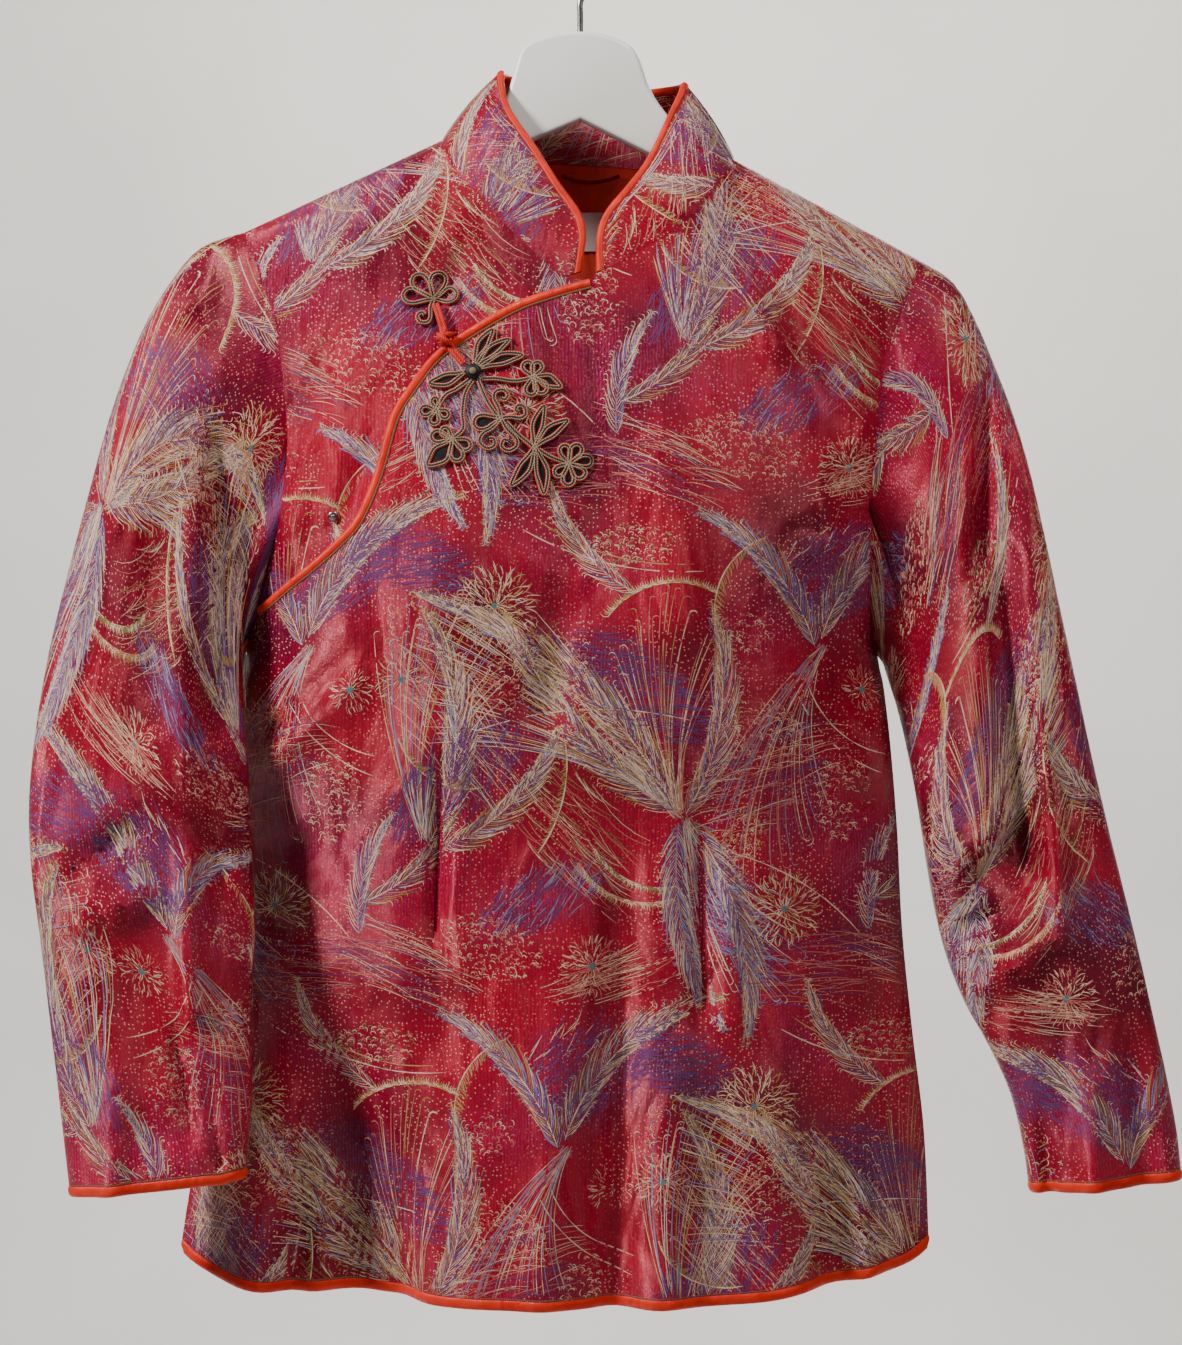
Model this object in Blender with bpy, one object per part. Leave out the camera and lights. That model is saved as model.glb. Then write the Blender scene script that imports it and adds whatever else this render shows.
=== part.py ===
"""Padded satin jacket with a stand collar and a side overlap, on a plain hanger.

Tables are in millimetres: x runs to the viewer's right, z is height below the rod
that the hook hangs on, and the front of the jacket faces -y.
"""
import math

import bmesh
import bpy
from mathutils import Vector

MM = 0.001

# Driving sizes
CLOTH = 2.5
SEAM_GAP = 0.3
LAYER_GAP = 0.6
FRONT_BINDING = 5.5
HEM_BINDING = 7.0
BINDING_THICK = 3.8
BINDING_RAISE = 0.4
HEM_LEEWAY = 0.4
SHOULDER_ROLL = 95.0
NECK_RISE = 50.0
SIDE_ROUND = 3.2
ARMPIT_MITRE = (0.5, 0.87)

# Cells along the edges that two pieces share
SIDE_CELLS = 11
ARMHOLE_CELLS = 12
NECK_CELLS = 9
SHOULDER_CELLS = 8
BACK_NECK_CELLS = 8
BACK_SHOULDER_CELLS = 6
UNDER_SHOULDER_CELLS = 5
ARMHOLE_GRADE = 1.7

# Shoulder seam: outer end and neck end on each side (x, z)
TIP_LEFT = (-200.4, -181.8)
NECK_LEFT = (-82.2, -126.6)
NECK_RIGHT = (93.6, -138.6)
TIP_RIGHT = (207.6, -200.4)
FRONT_NECK = (6.6, -217.5)
ARMPIT_LEFT = (-199.2, -426.6)
ARMPIT_RIGHT = (178.8, -435.6)

# Body sections: height, left side, right side, front depth, back depth.
# Above the armpits the sides are those of the whole width with the sleeve heads.
BODY = (
    (-60.0, -246.0, 262.0, 40.0, 30.0),
    (-180.0, -240.0, 255.0, 50.0, 40.0),
    (-240.0, -228.0, 243.0, 58.0, 40.0),
    (-300.0, -215.0, 225.0, 66.0, 44.0),
    (-370.0, -205.0, 200.0, 74.0, 46.0),
    (-430.0, -199.2, 179.5, 76.0, 46.0),
    (-490.0, -200.5, 187.0, 72.0, 44.0),
    (-540.0, -200.5, 191.0, 64.0, 42.0),
    (-600.0, -206.0, 194.0, 62.0, 43.0),
    (-660.0, -214.0, 200.0, 62.0, 44.0),
    (-720.0, -227.0, 207.0, 61.0, 44.0),
    (-790.0, -238.8, 210.0, 60.0, 42.0),
    (-860.0, -246.0, 212.0, 60.0, 42.0),
)

# Hem line (x, z), a shallow curve that rounds up to the side seams
HEM = (
    (-238.8, -793.0), (-226.0, -801.0), (-207.0, -807.0), (-180.0, -811.0),
    (-140.0, -811.0), (-60.0, -815.5), (20.0, -816.0), (100.0, -813.5),
    (150.0, -806.5), (188.0, -801.0), (201.0, -796.5), (210.0, -790.0),
)

# Armhole seams from shoulder tip to armpit (x, z)
FRONT_ARMHOLE_LEFT = (
    TIP_LEFT, (-192.0, -203.2), (-185.6, -219.8), (-178.0, -242.3), (-172.4, -295.1),
    (-173.2, -323.8), (-176.7, -356.0), (-184.5, -379.3), (-192.9, -410.0), ARMPIT_LEFT,
)
FRONT_ARMHOLE_RIGHT = (
    TIP_RIGHT, (192.8, -226.9), (179.8, -261.9), (173.6, -320.7), (172.6, -351.3),
    (173.0, -397.1), (175.6, -420.7), ARMPIT_RIGHT,
)
BACK_ARMHOLE_LEFT = (
    TIP_LEFT, (-195.0, -215.0), (-186.0, -260.0), (-182.0, -310.0), (-184.0, -360.0),
    (-191.0, -400.0), ARMPIT_LEFT,
)
BACK_ARMHOLE_RIGHT = (
    TIP_RIGHT, (200.0, -230.0), (190.0, -275.0), (183.0, -325.0), (180.0, -370.0),
    (178.0, -410.0), ARMPIT_RIGHT,
)

# Neck seams (x, z)
FRONT_NECK_LEFT = (NECK_LEFT, (-74.3, -147.3), (-60.1, -165.3), (-35.5, -191.7), (-9.0, -215.0), FRONT_NECK)
FRONT_NECK_RIGHT = (FRONT_NECK, (12.5, -213.5), (32.3, -202.8), (60.2, -184.6), (81.5, -158.6), NECK_RIGHT)
BACK_NECK = (NECK_LEFT, (-45.0, -133.0), (5.0, -136.0), (55.0, -138.5), NECK_RIGHT)

# Middle line of the overlap's binding: side part from the armhole up, and chest part to the neck (x, z)
OVERLAP_SIDE = (
    (-191.4, -409.4), (-174.3, -396.7), (-156.1, -383.6), (-140.2, -370.4), (-128.1, -357.2),
    (-116.8, -331.2), (-107.5, -298.6), (-97.5, -281.8), (-86.4, -266.8),
)
OVERLAP_CHEST = ((-86.4, -266.8), (-74.7, -256.4), (-39.3, -234.9), (-14.3, -225.5), (6.6, -219.6))
OVERLAP_CHEST_CELLS = 5
OVERLAP_LIFT = 4.0
LIFT_FULL = 52.0
LIFT_END = 105.0

# Hidden lower edge of the front that lies beneath, from the armhole to the neck (x, z)
UNDER_CORNER = (-188.4, -397.0)
UNDER_EDGE = (
    (-150.0, -400.0), (-110.0, -392.0), (-86.0, -355.0), (-70.0, -310.0), (-32.0, -275.0),
    (2.0, -250.0),
)

# Collar's upper edge from the front round the back to the front (x, y, z)
COLLAR_EDGE_LEFT = (
    (2.6, -53.0, -212.5), (4.4, -52.5, -198.0), (4.9, -50.0, -188.4), (1.4, -46.0, -175.5),
    (-10.4, -38.0, -157.8), (-25.3, -27.0, -132.9), (-41.0, -14.0, -107.2), (-46.0, 0.0, -83.5),
)
COLLAR_EDGE_BACK = (
    (-46.0, 0.0, -83.5), (-42.0, 20.0, -83.0), (-20.0, 36.0, -85.0), (6.0, 40.0, -88.0),
    (34.0, 36.0, -89.0), (58.0, 20.0, -89.0), (63.0, 0.0, -90.5),
)
COLLAR_EDGE_RIGHT = (
    (63.0, 0.0, -90.5), (54.8, -14.0, -108.4), (39.6, -30.0, -141.7), (27.7, -40.0, -159.3),
    (15.0, -47.0, -175.7), (9.6, -51.0, -190.9), (9.0, -53.0, -214.0),
)
COLLAR_ROWS = 4
COLLAR_BULGE = 2.0
COLLAR_HEIGHT = 40.0
COLLAR_LEAST = 1.5

# Large folds: foot (x, z), head (x, z), half width, depth (plus sinks, minus swells)
FRONT_FOLDS = (
    (-124.0, -830.0, -150.0, -610.0, 26.0, 30.0),
    (-197.0, -830.0, -192.0, -660.0, 18.0, -10.0),
    (-52.0, -830.0, -60.0, -640.0, 26.0, -4.0),
    (118.0, -830.0, 104.0, -640.0, 24.0, -5.0),
    (70.0, -640.0, 84.0, -480.0, 16.0, 5.0),
    (-74.0, -660.0, -78.0, -480.0, 15.0, 5.0),
)
BACK_FOLDS = (
    (-6.0, -840.0, 2.0, -480.0, 30.0, 10.0),
    (-140.0, -840.0, -120.0, -600.0, 26.0, -7.0),
    (120.0, -840.0, 108.0, -600.0, 26.0, -7.0),
    (66.0, -840.0, 60.0, -640.0, 22.0, 6.0),
)
LEFT_SLEEVE_FOLDS = (
    (-203.0, -470.0, -204.0, -270.0, 13.0, 9.0),
    (-236.0, -520.0, -232.0, -330.0, 18.0, -5.0),
    (-235.0, -700.0, -262.0, -560.0, 18.0, 6.0),
)
RIGHT_SLEEVE_FOLDS = (
    (258.0, -560.0, 242.0, -270.0, 13.0, 7.0),
    (214.0, -590.0, 262.0, -560.0, 13.0, 7.0),
    (290.0, -700.0, 268.0, -620.0, 16.0, 5.0),
)

# Sleeve sections: outer edge x, y, z, inner edge x, y, z, half depth
LEFT_SLEEVE = (
    (-200.4, 0.0, -181.8, -199.2, 0.0, -426.6, 24.0),
    (-227.0, -2.0, -191.7, -203.2, -1.5, -433.0, 25.0),
    (-245.7, -5.0, -214.4, -204.2, -6.0, -440.0, 26.0),
    (-261.8, -9.0, -244.8, -204.2, -13.0, -450.0, 27.0),
    (-277.5, -15.0, -290.1, -203.0, -20.0, -463.0, 28.0),
    (-289.5, -22.0, -338.0, -201.0, -28.0, -481.0, 27.0),
    (-301.1, -30.0, -388.6, -198.5, -36.0, -503.0, 26.0),
    (-310.5, -37.0, -432.9, -196.0, -42.0, -524.0, 25.0),
    (-317.0, -43.0, -476.8, -194.0, -47.0, -548.0, 24.0),
    (-320.3, -48.0, -520.5, -192.0, -52.0, -575.0, 23.0),
    (-318.1, -52.0, -561.3, -190.5, -56.0, -602.0, 22.0),
    (-311.9, -55.0, -604.8, -189.1, -59.0, -631.0, 21.0),
    (-306.1, -58.0, -648.5, -188.5, -61.0, -661.0, 20.0),
    (-300.9, -60.0, -689.2, -189.1, -62.0, -692.0, 19.5),
    (-296.8, -61.0, -724.2, -190.8, -63.0, -717.5, 19.0),
    (-293.9, -61.0, -749.5, -192.5, -63.0, -737.5, 19.0),
)
RIGHT_SLEEVE = (
    (207.6, 0.0, -200.4, 178.8, 0.0, -435.6, 23.0),
    (225.3, -1.0, -212.7, 182.4, -1.0, -441.0, 24.0),
    (238.0, -3.0, -236.4, 184.2, -2.0, -447.0, 25.0),
    (248.5, -5.0, -262.5, 186.5, -4.0, -455.0, 26.0),
    (258.5, -8.0, -290.4, 189.5, -6.0, -465.0, 27.0),
    (268.0, -11.0, -323.3, 193.0, -9.0, -479.0, 27.0),
    (276.8, -15.0, -365.2, 196.5, -12.0, -496.0, 26.0),
    (285.1, -19.0, -406.9, 200.0, -16.0, -516.0, 25.0),
    (293.9, -23.0, -450.8, 203.5, -20.0, -541.0, 24.0),
    (302.7, -27.0, -495.7, 207.0, -24.0, -567.0, 23.0),
    (311.7, -30.0, -536.3, 211.0, -27.0, -590.0, 22.0),
    (320.8, -32.0, -574.4, 217.0, -30.0, -614.0, 21.0),
    (329.8, -34.0, -613.1, 227.5, -32.0, -641.0, 20.0),
    (338.1, -35.0, -650.7, 240.5, -34.0, -664.0, 19.0),
    (345.7, -36.0, -686.0, 253.6, -35.0, -693.0, 18.5),
    (351.2, -36.0, -716.0, 261.2, -35.0, -724.0, 18.0),
    (354.1, -36.0, -744.0, 265.3, -35.0, -752.0, 18.0),
)
SLEEVE_BLEND_RINGS = 6
SLEEVE_SQUARENESS = 0.8

# Hanger: outline of the moulded body (x, z) and the wire hook
HANGER_THICK = 9.0
HANGER_EDGE = 3.2
HANGER_DROP = 3.9
HANGER_TIP_DEPTH = 15.0
HANGER_TIP_ROUND = 0.7
HANGER_TIP_LEFT = -172.0
HANGER_TIP_RIGHT = 180.0
HANGER_REST_LEFT = -112.0
HANGER_REST_RIGHT = 124.0
HANGER_HEAD = (
    (-82.0, -135.5), (-64.0, -125.0), (-47.0, -108.6), (-40.2, -90.0), (-35.5, -75.0),
    (-29.0, -68.0), (-15.0, -63.4), (0.0, -61.8), (15.0, -63.6), (28.0, -68.6), (35.5, -76.5),
    (42.6, -96.0), (53.0, -111.5), (72.0, -131.0), (93.0, -148.0),
)
HANGER_NOTCH = (0.8, -115.0)
HOOK_WIRE = 3.6
HOOK_RADIUS = 19.0
HOOK_FOOT = -60.9
HOOK_BEND = -44.0

# Cord flowers of the closure: name, centre (x, z), reach, petals, turn in degrees, waist
UPPER_FLOWER = ("frog_upper_flower", -85.3, -227.7, 18.5, 5, 100.0, 0.40)
LOWER_FLOWERS = (
    ("frog_sprig", -83.0, -295.6, 7.5, 3, 150.0, 0.35),
    ("frog_flower_left", -72.5, -313.5, 11.5, 5, 210.0, 0.42),
    ("frog_curls", -44.1, -302.4, 14.5, 5, 90.0, 0.45),
    ("frog_daisy", -3.6, -327.0, 11.0, 7, 90.0, 0.55),
    ("frog_flower_right", -26.2, -277.4, 10.5, 5, 20.0, 0.36),
)
FROG_HUB = (-60.4, -273.5)
HUB_RADIUS = 5.2
HUB_FLATNESS = 0.5
# Plume, single leaves and the four leaves of the star: name, root (x, z), tip (x, z), half width
LEAVES = (
    ("frog_flame_1", (-60.0, -266.4), (-50.4, -246.0), 3.2),
    ("frog_flame_2", (-55.0, -267.0), (-39.6, -251.0), 3.0),
    ("frog_flame_3", (-52.2, -270.6), (-31.5, -259.5), 3.2),
    ("frog_leaf", (-67.4, -275.2), (-88.0, -281.5), 3.0),
    ("frog_star_1", (-23.0, -313.0), (-18.1, -294.0), 3.2),
    ("frog_star_2", (-20.0, -315.6), (-5.5, -301.2), 3.2),
    ("frog_star_3", (-26.8, -321.4), (-37.7, -339.8), 3.4),
    ("frog_star_4", (-23.4, -322.4), (-19.9, -343.9), 3.4),
)
# Stems that run out from the hub: name, direction point (x, z), start and end distance
STEMS = (
    ("frog_stem_1", (-83.0, -295.6), 6.0, 22.5),
    ("frog_stem_2", (-72.5, -313.5), 6.0, 29.0),
    ("frog_stem_3", (-44.1, -302.4), 6.0, 17.5),
    ("frog_stem_4", (-26.2, -277.4), 6.0, 22.5),
)
CORD_THICK = 3.0
STEM_WIDTH = 2.6
KNOT_CENTRE = (-75.2, -254.6)
KNOT_RADIUS = 5.0
KNOT_FLATNESS = 0.8
STRAP = ((-84.0, -231.0), (-81.6, -240.0), (-78.8, -248.0))
STRAP_WIDTH = 3.0
LOOP_CENTRE = (-67.4, -264.2)
LOOP_LENGTH = 8.0
LOOP_WIDTH = 3.6
LOOP_CORD = 2.2
LOOP_SIDES = 12
FLOWER_SIDES = 30
FLOWER_RINGS = (0.45, 1.0)
LOBE_ROUNDNESS = 0.8
LEAF_SIDES = 14
LEAF_RINGS = (0.4, 1.0)
SNAP_CENTRE = (-143.2, -354.7)
SNAP_RADIUS = 3.0
SNAP_FLATNESS = 0.4

# Inside of the back neck: lining, blank label and hanging loop
LINING_LEFT = -44.0
LINING_RIGHT = 54.0
LINING_TOP_GAP = 6.0
LINING_DROP = 84.0
LINING_THICK = 1.0
LINING_GAP = 0.7
LABEL_CENTRE = (7.0, -176.0)
LABEL_SIZE = (42.0, 24.0)
LABEL_THICK = 0.6
LABEL_GAP = 0.5
HANG_LOOP_LEFT = -11.0
HANG_LOOP_RIGHT = 25.0
HANG_LOOP_Z = -141.5
HANG_LOOP_SAG = 4.0
HANG_LOOP_WIDTH = 2.4

# Colour, roughness and metallic value of each finish
FINISHES = {
    "brocade": ((0.42, 0.012, 0.030, 1.0), 0.38, 0.0),
    "satin_binding": ((0.72, 0.045, 0.018, 1.0), 0.35, 0.0),
    "lining": ((0.66, 0.050, 0.030, 1.0), 0.50, 0.0),
    "cord": ((0.16, 0.060, 0.030, 1.0), 0.60, 0.0),
    "red_cord": ((0.55, 0.015, 0.010, 1.0), 0.50, 0.0),
    "label": ((0.80, 0.79, 0.75, 1.0), 0.70, 0.0),
    "plastic": ((0.86, 0.86, 0.82, 1.0), 0.40, 0.0),
    "steel": ((0.55, 0.55, 0.56, 1.0), 0.30, 1.0),
}


def clear_scene():
    for thing in list(bpy.data.objects):
        bpy.data.objects.remove(thing, do_unlink=True)


def finish(name):
    material = bpy.data.materials.get(name)
    if material is None:
        colour, roughness, metallic = FINISHES[name]
        material = bpy.data.materials.new(name)
        material.use_nodes = True
        shader = material.node_tree.nodes["Principled BSDF"]
        shader.inputs["Base Color"].default_value = colour
        shader.inputs["Roughness"].default_value = roughness
        shader.inputs["Metallic"].default_value = metallic
    return material


def make_collection():
    collection = bpy.data.collections.new("jacket_on_hanger")
    bpy.context.scene.collection.children.link(collection)
    return collection


def add_object(name, data, finish_name, collection):
    data.materials.append(finish(finish_name))
    thing = bpy.data.objects.new(name, data)
    collection.objects.link(thing)
    return thing


def clamp(value, low=0.0, high=1.0):
    return max(low, min(high, value))


def smooth(value):
    value = clamp(value)
    return value * value * (3.0 - 2.0 * value)


def read_table(rows, column, at):
    """Value of a column at a place in the first column, on a smooth curve."""
    keys = [row[0] for row in rows]
    step = 1 if keys[-1] > keys[0] else -1
    at = clamp(at, min(keys), max(keys))
    cell = 0
    while cell < len(rows) - 2 and (at - keys[cell + 1]) * step > 0:
        cell += 1
    before = max(cell - 1, 0)
    after = min(cell + 2, len(rows) - 1)
    width = keys[cell + 1] - keys[cell]
    share = (at - keys[cell]) / width
    low = rows[cell][column]
    high = rows[cell + 1][column]
    slope_low = (high - rows[before][column]) / (keys[cell + 1] - keys[before]) * width
    slope_high = (rows[after][column] - low) / (keys[after] - keys[cell]) * width
    return (
        (2 * share**3 - 3 * share**2 + 1) * low
        + (share**3 - 2 * share**2 + share) * slope_low
        + (3 * share**2 - 2 * share**3) * high
        + (share**3 - share**2) * slope_high
    )


def dense_curve(points, fine=12):
    """Catmull-Rom curve through points of any dimension."""
    points = [Vector(point) for point in points]
    dense = []
    for index in range(len(points) - 1):
        before = points[max(index - 1, 0)]
        start = points[index]
        end = points[index + 1]
        after = points[min(index + 2, len(points) - 1)]
        for part in range(fine):
            share = part / fine
            dense.append(
                0.5 * (
                    2 * start
                    + (end - before) * share
                    + (2 * before - 5 * start + 4 * end - after) * share**2
                    + (3 * start - before - 3 * end + after) * share**3
                )
            )
    dense.append(points[-1])
    return dense


def sample(points, cells, grade=1.0):
    """Points along a smooth curve; a grade over 1 crowds them towards its start."""
    dense = dense_curve(points)
    lengths = [0.0]
    for first, second in zip(dense, dense[1:]):
        lengths.append(lengths[-1] + (second - first).length)
    picked = []
    for cell in range(cells + 1):
        wanted = lengths[-1] * (cell / cells) ** grade
        index = 0
        while index < len(dense) - 2 and lengths[index + 1] < wanted:
            index += 1
        span = max(lengths[index + 1] - lengths[index], 1e-9)
        picked.append(dense[index].lerp(dense[index + 1], clamp((wanted - lengths[index]) / span)))
    return picked


def shift_path(points, distance):
    """Path in x, z moved to its right-hand side as seen from the front."""
    moved = []
    for index, point in enumerate(points):
        before = points[max(index - 1, 0)]
        after = points[min(index + 1, len(points) - 1)]
        along = (after - before).normalized()
        moved.append(point + Vector((along[1], -along[0])) * distance)
    return moved


def ridge(x):
    """Height of the shoulder line, with a rise where the neck opens."""
    if x < NECK_LEFT[0]:
        slope = (NECK_LEFT[1] - TIP_LEFT[1]) / (NECK_LEFT[0] - TIP_LEFT[0])
        return NECK_LEFT[1] + (x - NECK_LEFT[0]) * slope
    if x > NECK_RIGHT[0]:
        slope = (TIP_RIGHT[1] - NECK_RIGHT[1]) / (TIP_RIGHT[0] - NECK_RIGHT[0])
        return NECK_RIGHT[1] + (x - NECK_RIGHT[0]) * slope
    share = (x - NECK_LEFT[0]) / (NECK_RIGHT[0] - NECK_LEFT[0])
    line = NECK_LEFT[1] + (NECK_RIGHT[1] - NECK_LEFT[1]) * share
    return line + NECK_RISE * 4.0 * share * (1.0 - share)


def section_share(x, z):
    """Share of the full depth at a place: 0 on the side and shoulder seams."""
    left = read_table(BODY, 1, z)
    right = read_table(BODY, 2, z)
    across = clamp(abs(2.0 * (x - left) / (right - left) - 1.0))
    drop = clamp((ridge(x) - z) / SHOULDER_ROLL)
    return (1.0 - across**SIDE_ROUND) * math.sqrt(1.0 - (1.0 - drop) ** 2)


def fold_depth(folds, x, z):
    total = 0.0
    here = Vector((x, z))
    for foot_x, foot_z, head_x, head_z, half_width, depth in folds:
        foot = Vector((foot_x, foot_z))
        run = Vector((head_x, head_z)) - foot
        along = (here - foot).dot(run) / run.length_squared
        away = (here - foot - run * clamp(along)).length
        fade = smooth((1.0 - along) / 0.6) * smooth((along + 0.35) / 0.35)
        total += depth * fade * math.exp(-((away / half_width) ** 2))
    return total


def front_depth(x, z):
    base = read_table(BODY, 3, z) * section_share(x, z)
    return base - fold_depth(FRONT_FOLDS, x, z) * smooth(base / 30.0)


def back_depth(x, z):
    base = read_table(BODY, 4, z) * section_share(x, z)
    return base - fold_depth(BACK_FOLDS, x, z) * smooth(base / 25.0)


OVERLAP_DENSE = dense_curve(OVERLAP_SIDE + OVERLAP_CHEST[1:], 5)


def overlap_lift(x, z):
    """Extra depth of the upper layer where the two fronts lie on each other."""
    here = Vector((x, z))
    nearest = min((here - point).length for point in OVERLAP_DENSE)
    base = read_table(BODY, 3, z) * section_share(x, z)
    return OVERLAP_LIFT * smooth((LIFT_END - nearest) / (LIFT_END - LIFT_FULL)) * smooth(base / 9.0)


def front_y(x, z):
    return -front_depth(x, z)


def upper_front_y(x, z):
    return -front_depth(x, z) - overlap_lift(x, z)


def back_y(x, z):
    return back_depth(x, z)


def surface_point(surface, x, z):
    """Point and outward direction of a surface y = surface(x, z)."""
    step = 1.0
    y = surface(x, z)
    side = -1.0 if surface is not back_y else 1.0
    slope_x = (surface(x + step, z) - surface(x - step, z)) / (2 * step)
    slope_z = (surface(x, z) - surface(x, z - step)) / step
    normal = Vector((-slope_x * side, side, -slope_z * side))
    return Vector((x, y, z)), normal.normalized()


def seam_point(surface, x, z):
    """As surface_point on a seam at y = 0: the wall is mitred in the seam's plane."""
    step = 4.0
    left = read_table(BODY, 1, z)
    right = read_table(BODY, 2, z)
    inward = step if x < (left + right) / 2 else -step
    point, normal = surface_point(surface, x + inward, z - step)
    flat = Vector((normal.x, 0.0, normal.z)).normalized()
    for armpit, outward in ((ARMPIT_LEFT, -1.0), (ARMPIT_RIGHT, 1.0)):
        if (Vector((x, z)) - Vector(armpit)).length < 0.5:
            flat = Vector((outward * ARMPIT_MITRE[0], 0.0, -ARMPIT_MITRE[1]))
    side = -1.0 if surface is not back_y else 1.0
    return Vector((x, side * SEAM_GAP / 2, z)), flat


def patch(bottom, top, left, right):
    """Grid of x, z points between four edge paths (rows run from bottom to top)."""
    rows = len(left) - 1
    cols = len(bottom) - 1
    grid = []
    for row in range(rows + 1):
        v = row / rows
        line = []
        for col in range(cols + 1):
            u = col / cols
            ruled = bottom[col] * (1 - v) + top[col] * v + left[row] * (1 - u) + right[row] * u
            corners = (
                bottom[0] * (1 - u) * (1 - v) + bottom[-1] * u * (1 - v)
                + top[0] * (1 - u) * v + top[-1] * u * v
            )
            line.append(ruled - corners)
        grid.append(line)
    return grid


def wall_grids(grid, surface, on_seam, thick=CLOTH, sink=0.0):
    """Outer and inner points of a cloth wall over a grid of x, z points."""
    outer = []
    inner = []
    for row, line in enumerate(grid):
        outer_line = []
        inner_line = []
        for col, (x, z) in enumerate(line):
            place = seam_point if on_seam(row, col) else surface_point
            point, normal = place(surface, x, z)
            outer_line.append(point - normal * sink)
            inner_line.append(point - normal * (sink + thick))
        outer.append(outer_line)
        inner.append(inner_line)
    return outer, inner


def wall_mesh(name, outer, inner, closed=False):
    """Closed wall between two grids of points; closed joins the last column to the first."""
    if closed:
        outer = [line + line[:1] for line in outer]
        inner = [line + line[:1] for line in inner]
    rows = len(outer)
    cols = len(outer[0])
    build = bmesh.new()
    station = build.verts.layers.int.new("station")
    bmesh.ops.create_grid(build, x_segments=cols - 1, y_segments=rows - 1, size=1.0)
    for number, vertex in enumerate(build.verts):
        vertex[station] = number
        vertex.co = outer[number // cols][number % cols] * MM
    if closed:
        bmesh.ops.remove_doubles(build, verts=build.verts, dist=1e-6)
    raised = bmesh.ops.extrude_face_region(build, geom=build.faces[:], use_keep_orig=True)
    for vertex in (item for item in raised["geom"] if isinstance(item, bmesh.types.BMVert)):
        number = vertex[station]
        vertex.co = inner[number // cols][number % cols] * MM
    return close_mesh(name, build)


def close_mesh(name, build):
    bmesh.ops.triangulate(build, faces=build.faces, quad_method="SHORT_EDGE")
    bmesh.ops.recalc_face_normals(build, faces=build.faces)
    if build.calc_volume(signed=True) < 0:
        bmesh.ops.reverse_faces(build, faces=build.faces)
    mesh = bpy.data.meshes.new(name)
    build.to_mesh(mesh)
    build.free()
    mesh.shade_smooth()
    mesh.set_sharp_from_angle(angle=math.radians(50))
    return mesh


def rod_mesh(name, rings, closed):
    """Solid swept through rings of points; closed joins the last ring to the first."""
    sides = len(rings[0])
    count = len(rings)
    build = bmesh.new()
    loops = []
    for ring in rings:
        loops.append([build.verts.new(point * MM) for point in ring])
    spans = count if closed else count - 1
    for index in range(spans):
        first = loops[index]
        second = loops[(index + 1) % count]
        for side in range(sides):
            following = (side + 1) % sides
            build.faces.new((first[side], first[following], second[following], second[side]))
    if not closed:
        build.faces.new(loops[0])
        build.faces.new(loops[-1])
    return close_mesh(name, build)


def oval_ring(centre, wide_axis, thick_axis, wide, thick, sides=8):
    ring = []
    for side in range(sides):
        angle = 2 * math.pi * (side + 0.5) / sides
        spread = 1.0 / math.cos(math.pi / sides)
        ring.append(
            centre
            + wide_axis * (math.cos(angle) * wide / 2 * spread)
            + thick_axis * (math.sin(angle) * thick / 2 * spread)
        )
    return ring


def side_line(column, foot, armpit):
    """Side seam in x, z from the hem up to the armpit."""
    line = []
    for cell in range(SIDE_CELLS + 1):
        z = foot[1] + (armpit[1] - foot[1]) * cell / SIDE_CELLS
        line.append(Vector((read_table(BODY, column, z), z)))
    return line


def armhole(points):
    """Armhole from tip to armpit, with its samples crowded at the tip."""
    return sample(points, ARMHOLE_CELLS, ARMHOLE_GRADE)


def hem_cells(cells):
    """Cut edge of the cloth along the hem, a binding's width above the hem line."""
    return [point + Vector((0.0, HEM_BINDING + SEAM_GAP)) for point in sample(HEM, cells)]


def back_panel():
    cols = BACK_NECK_CELLS + 2 * BACK_SHOULDER_CELLS
    bottom = hem_cells(cols)
    left = side_line(1, bottom[0], ARMPIT_LEFT) + armhole(BACK_ARMHOLE_LEFT)[::-1][1:]
    right = side_line(2, bottom[-1], ARMPIT_RIGHT) + armhole(BACK_ARMHOLE_RIGHT)[::-1][1:]
    top = (
        sample((TIP_LEFT, NECK_LEFT), BACK_SHOULDER_CELLS)
        + sample(BACK_NECK, BACK_NECK_CELLS)[1:]
        + sample((NECK_RIGHT, TIP_RIGHT), BACK_SHOULDER_CELLS)[1:]
    )
    grid = patch(bottom, top, left, right)
    rows = len(grid) - 1
    neck_first = BACK_SHOULDER_CELLS
    neck_last = BACK_SHOULDER_CELLS + BACK_NECK_CELLS

    def on_seam(row, col):
        side = col in (0, cols) and row <= SIDE_CELLS
        shoulder = row == rows and (col <= neck_first or col >= neck_last)
        return side or shoulder

    return wall_grids(grid, back_y, on_seam)


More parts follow.
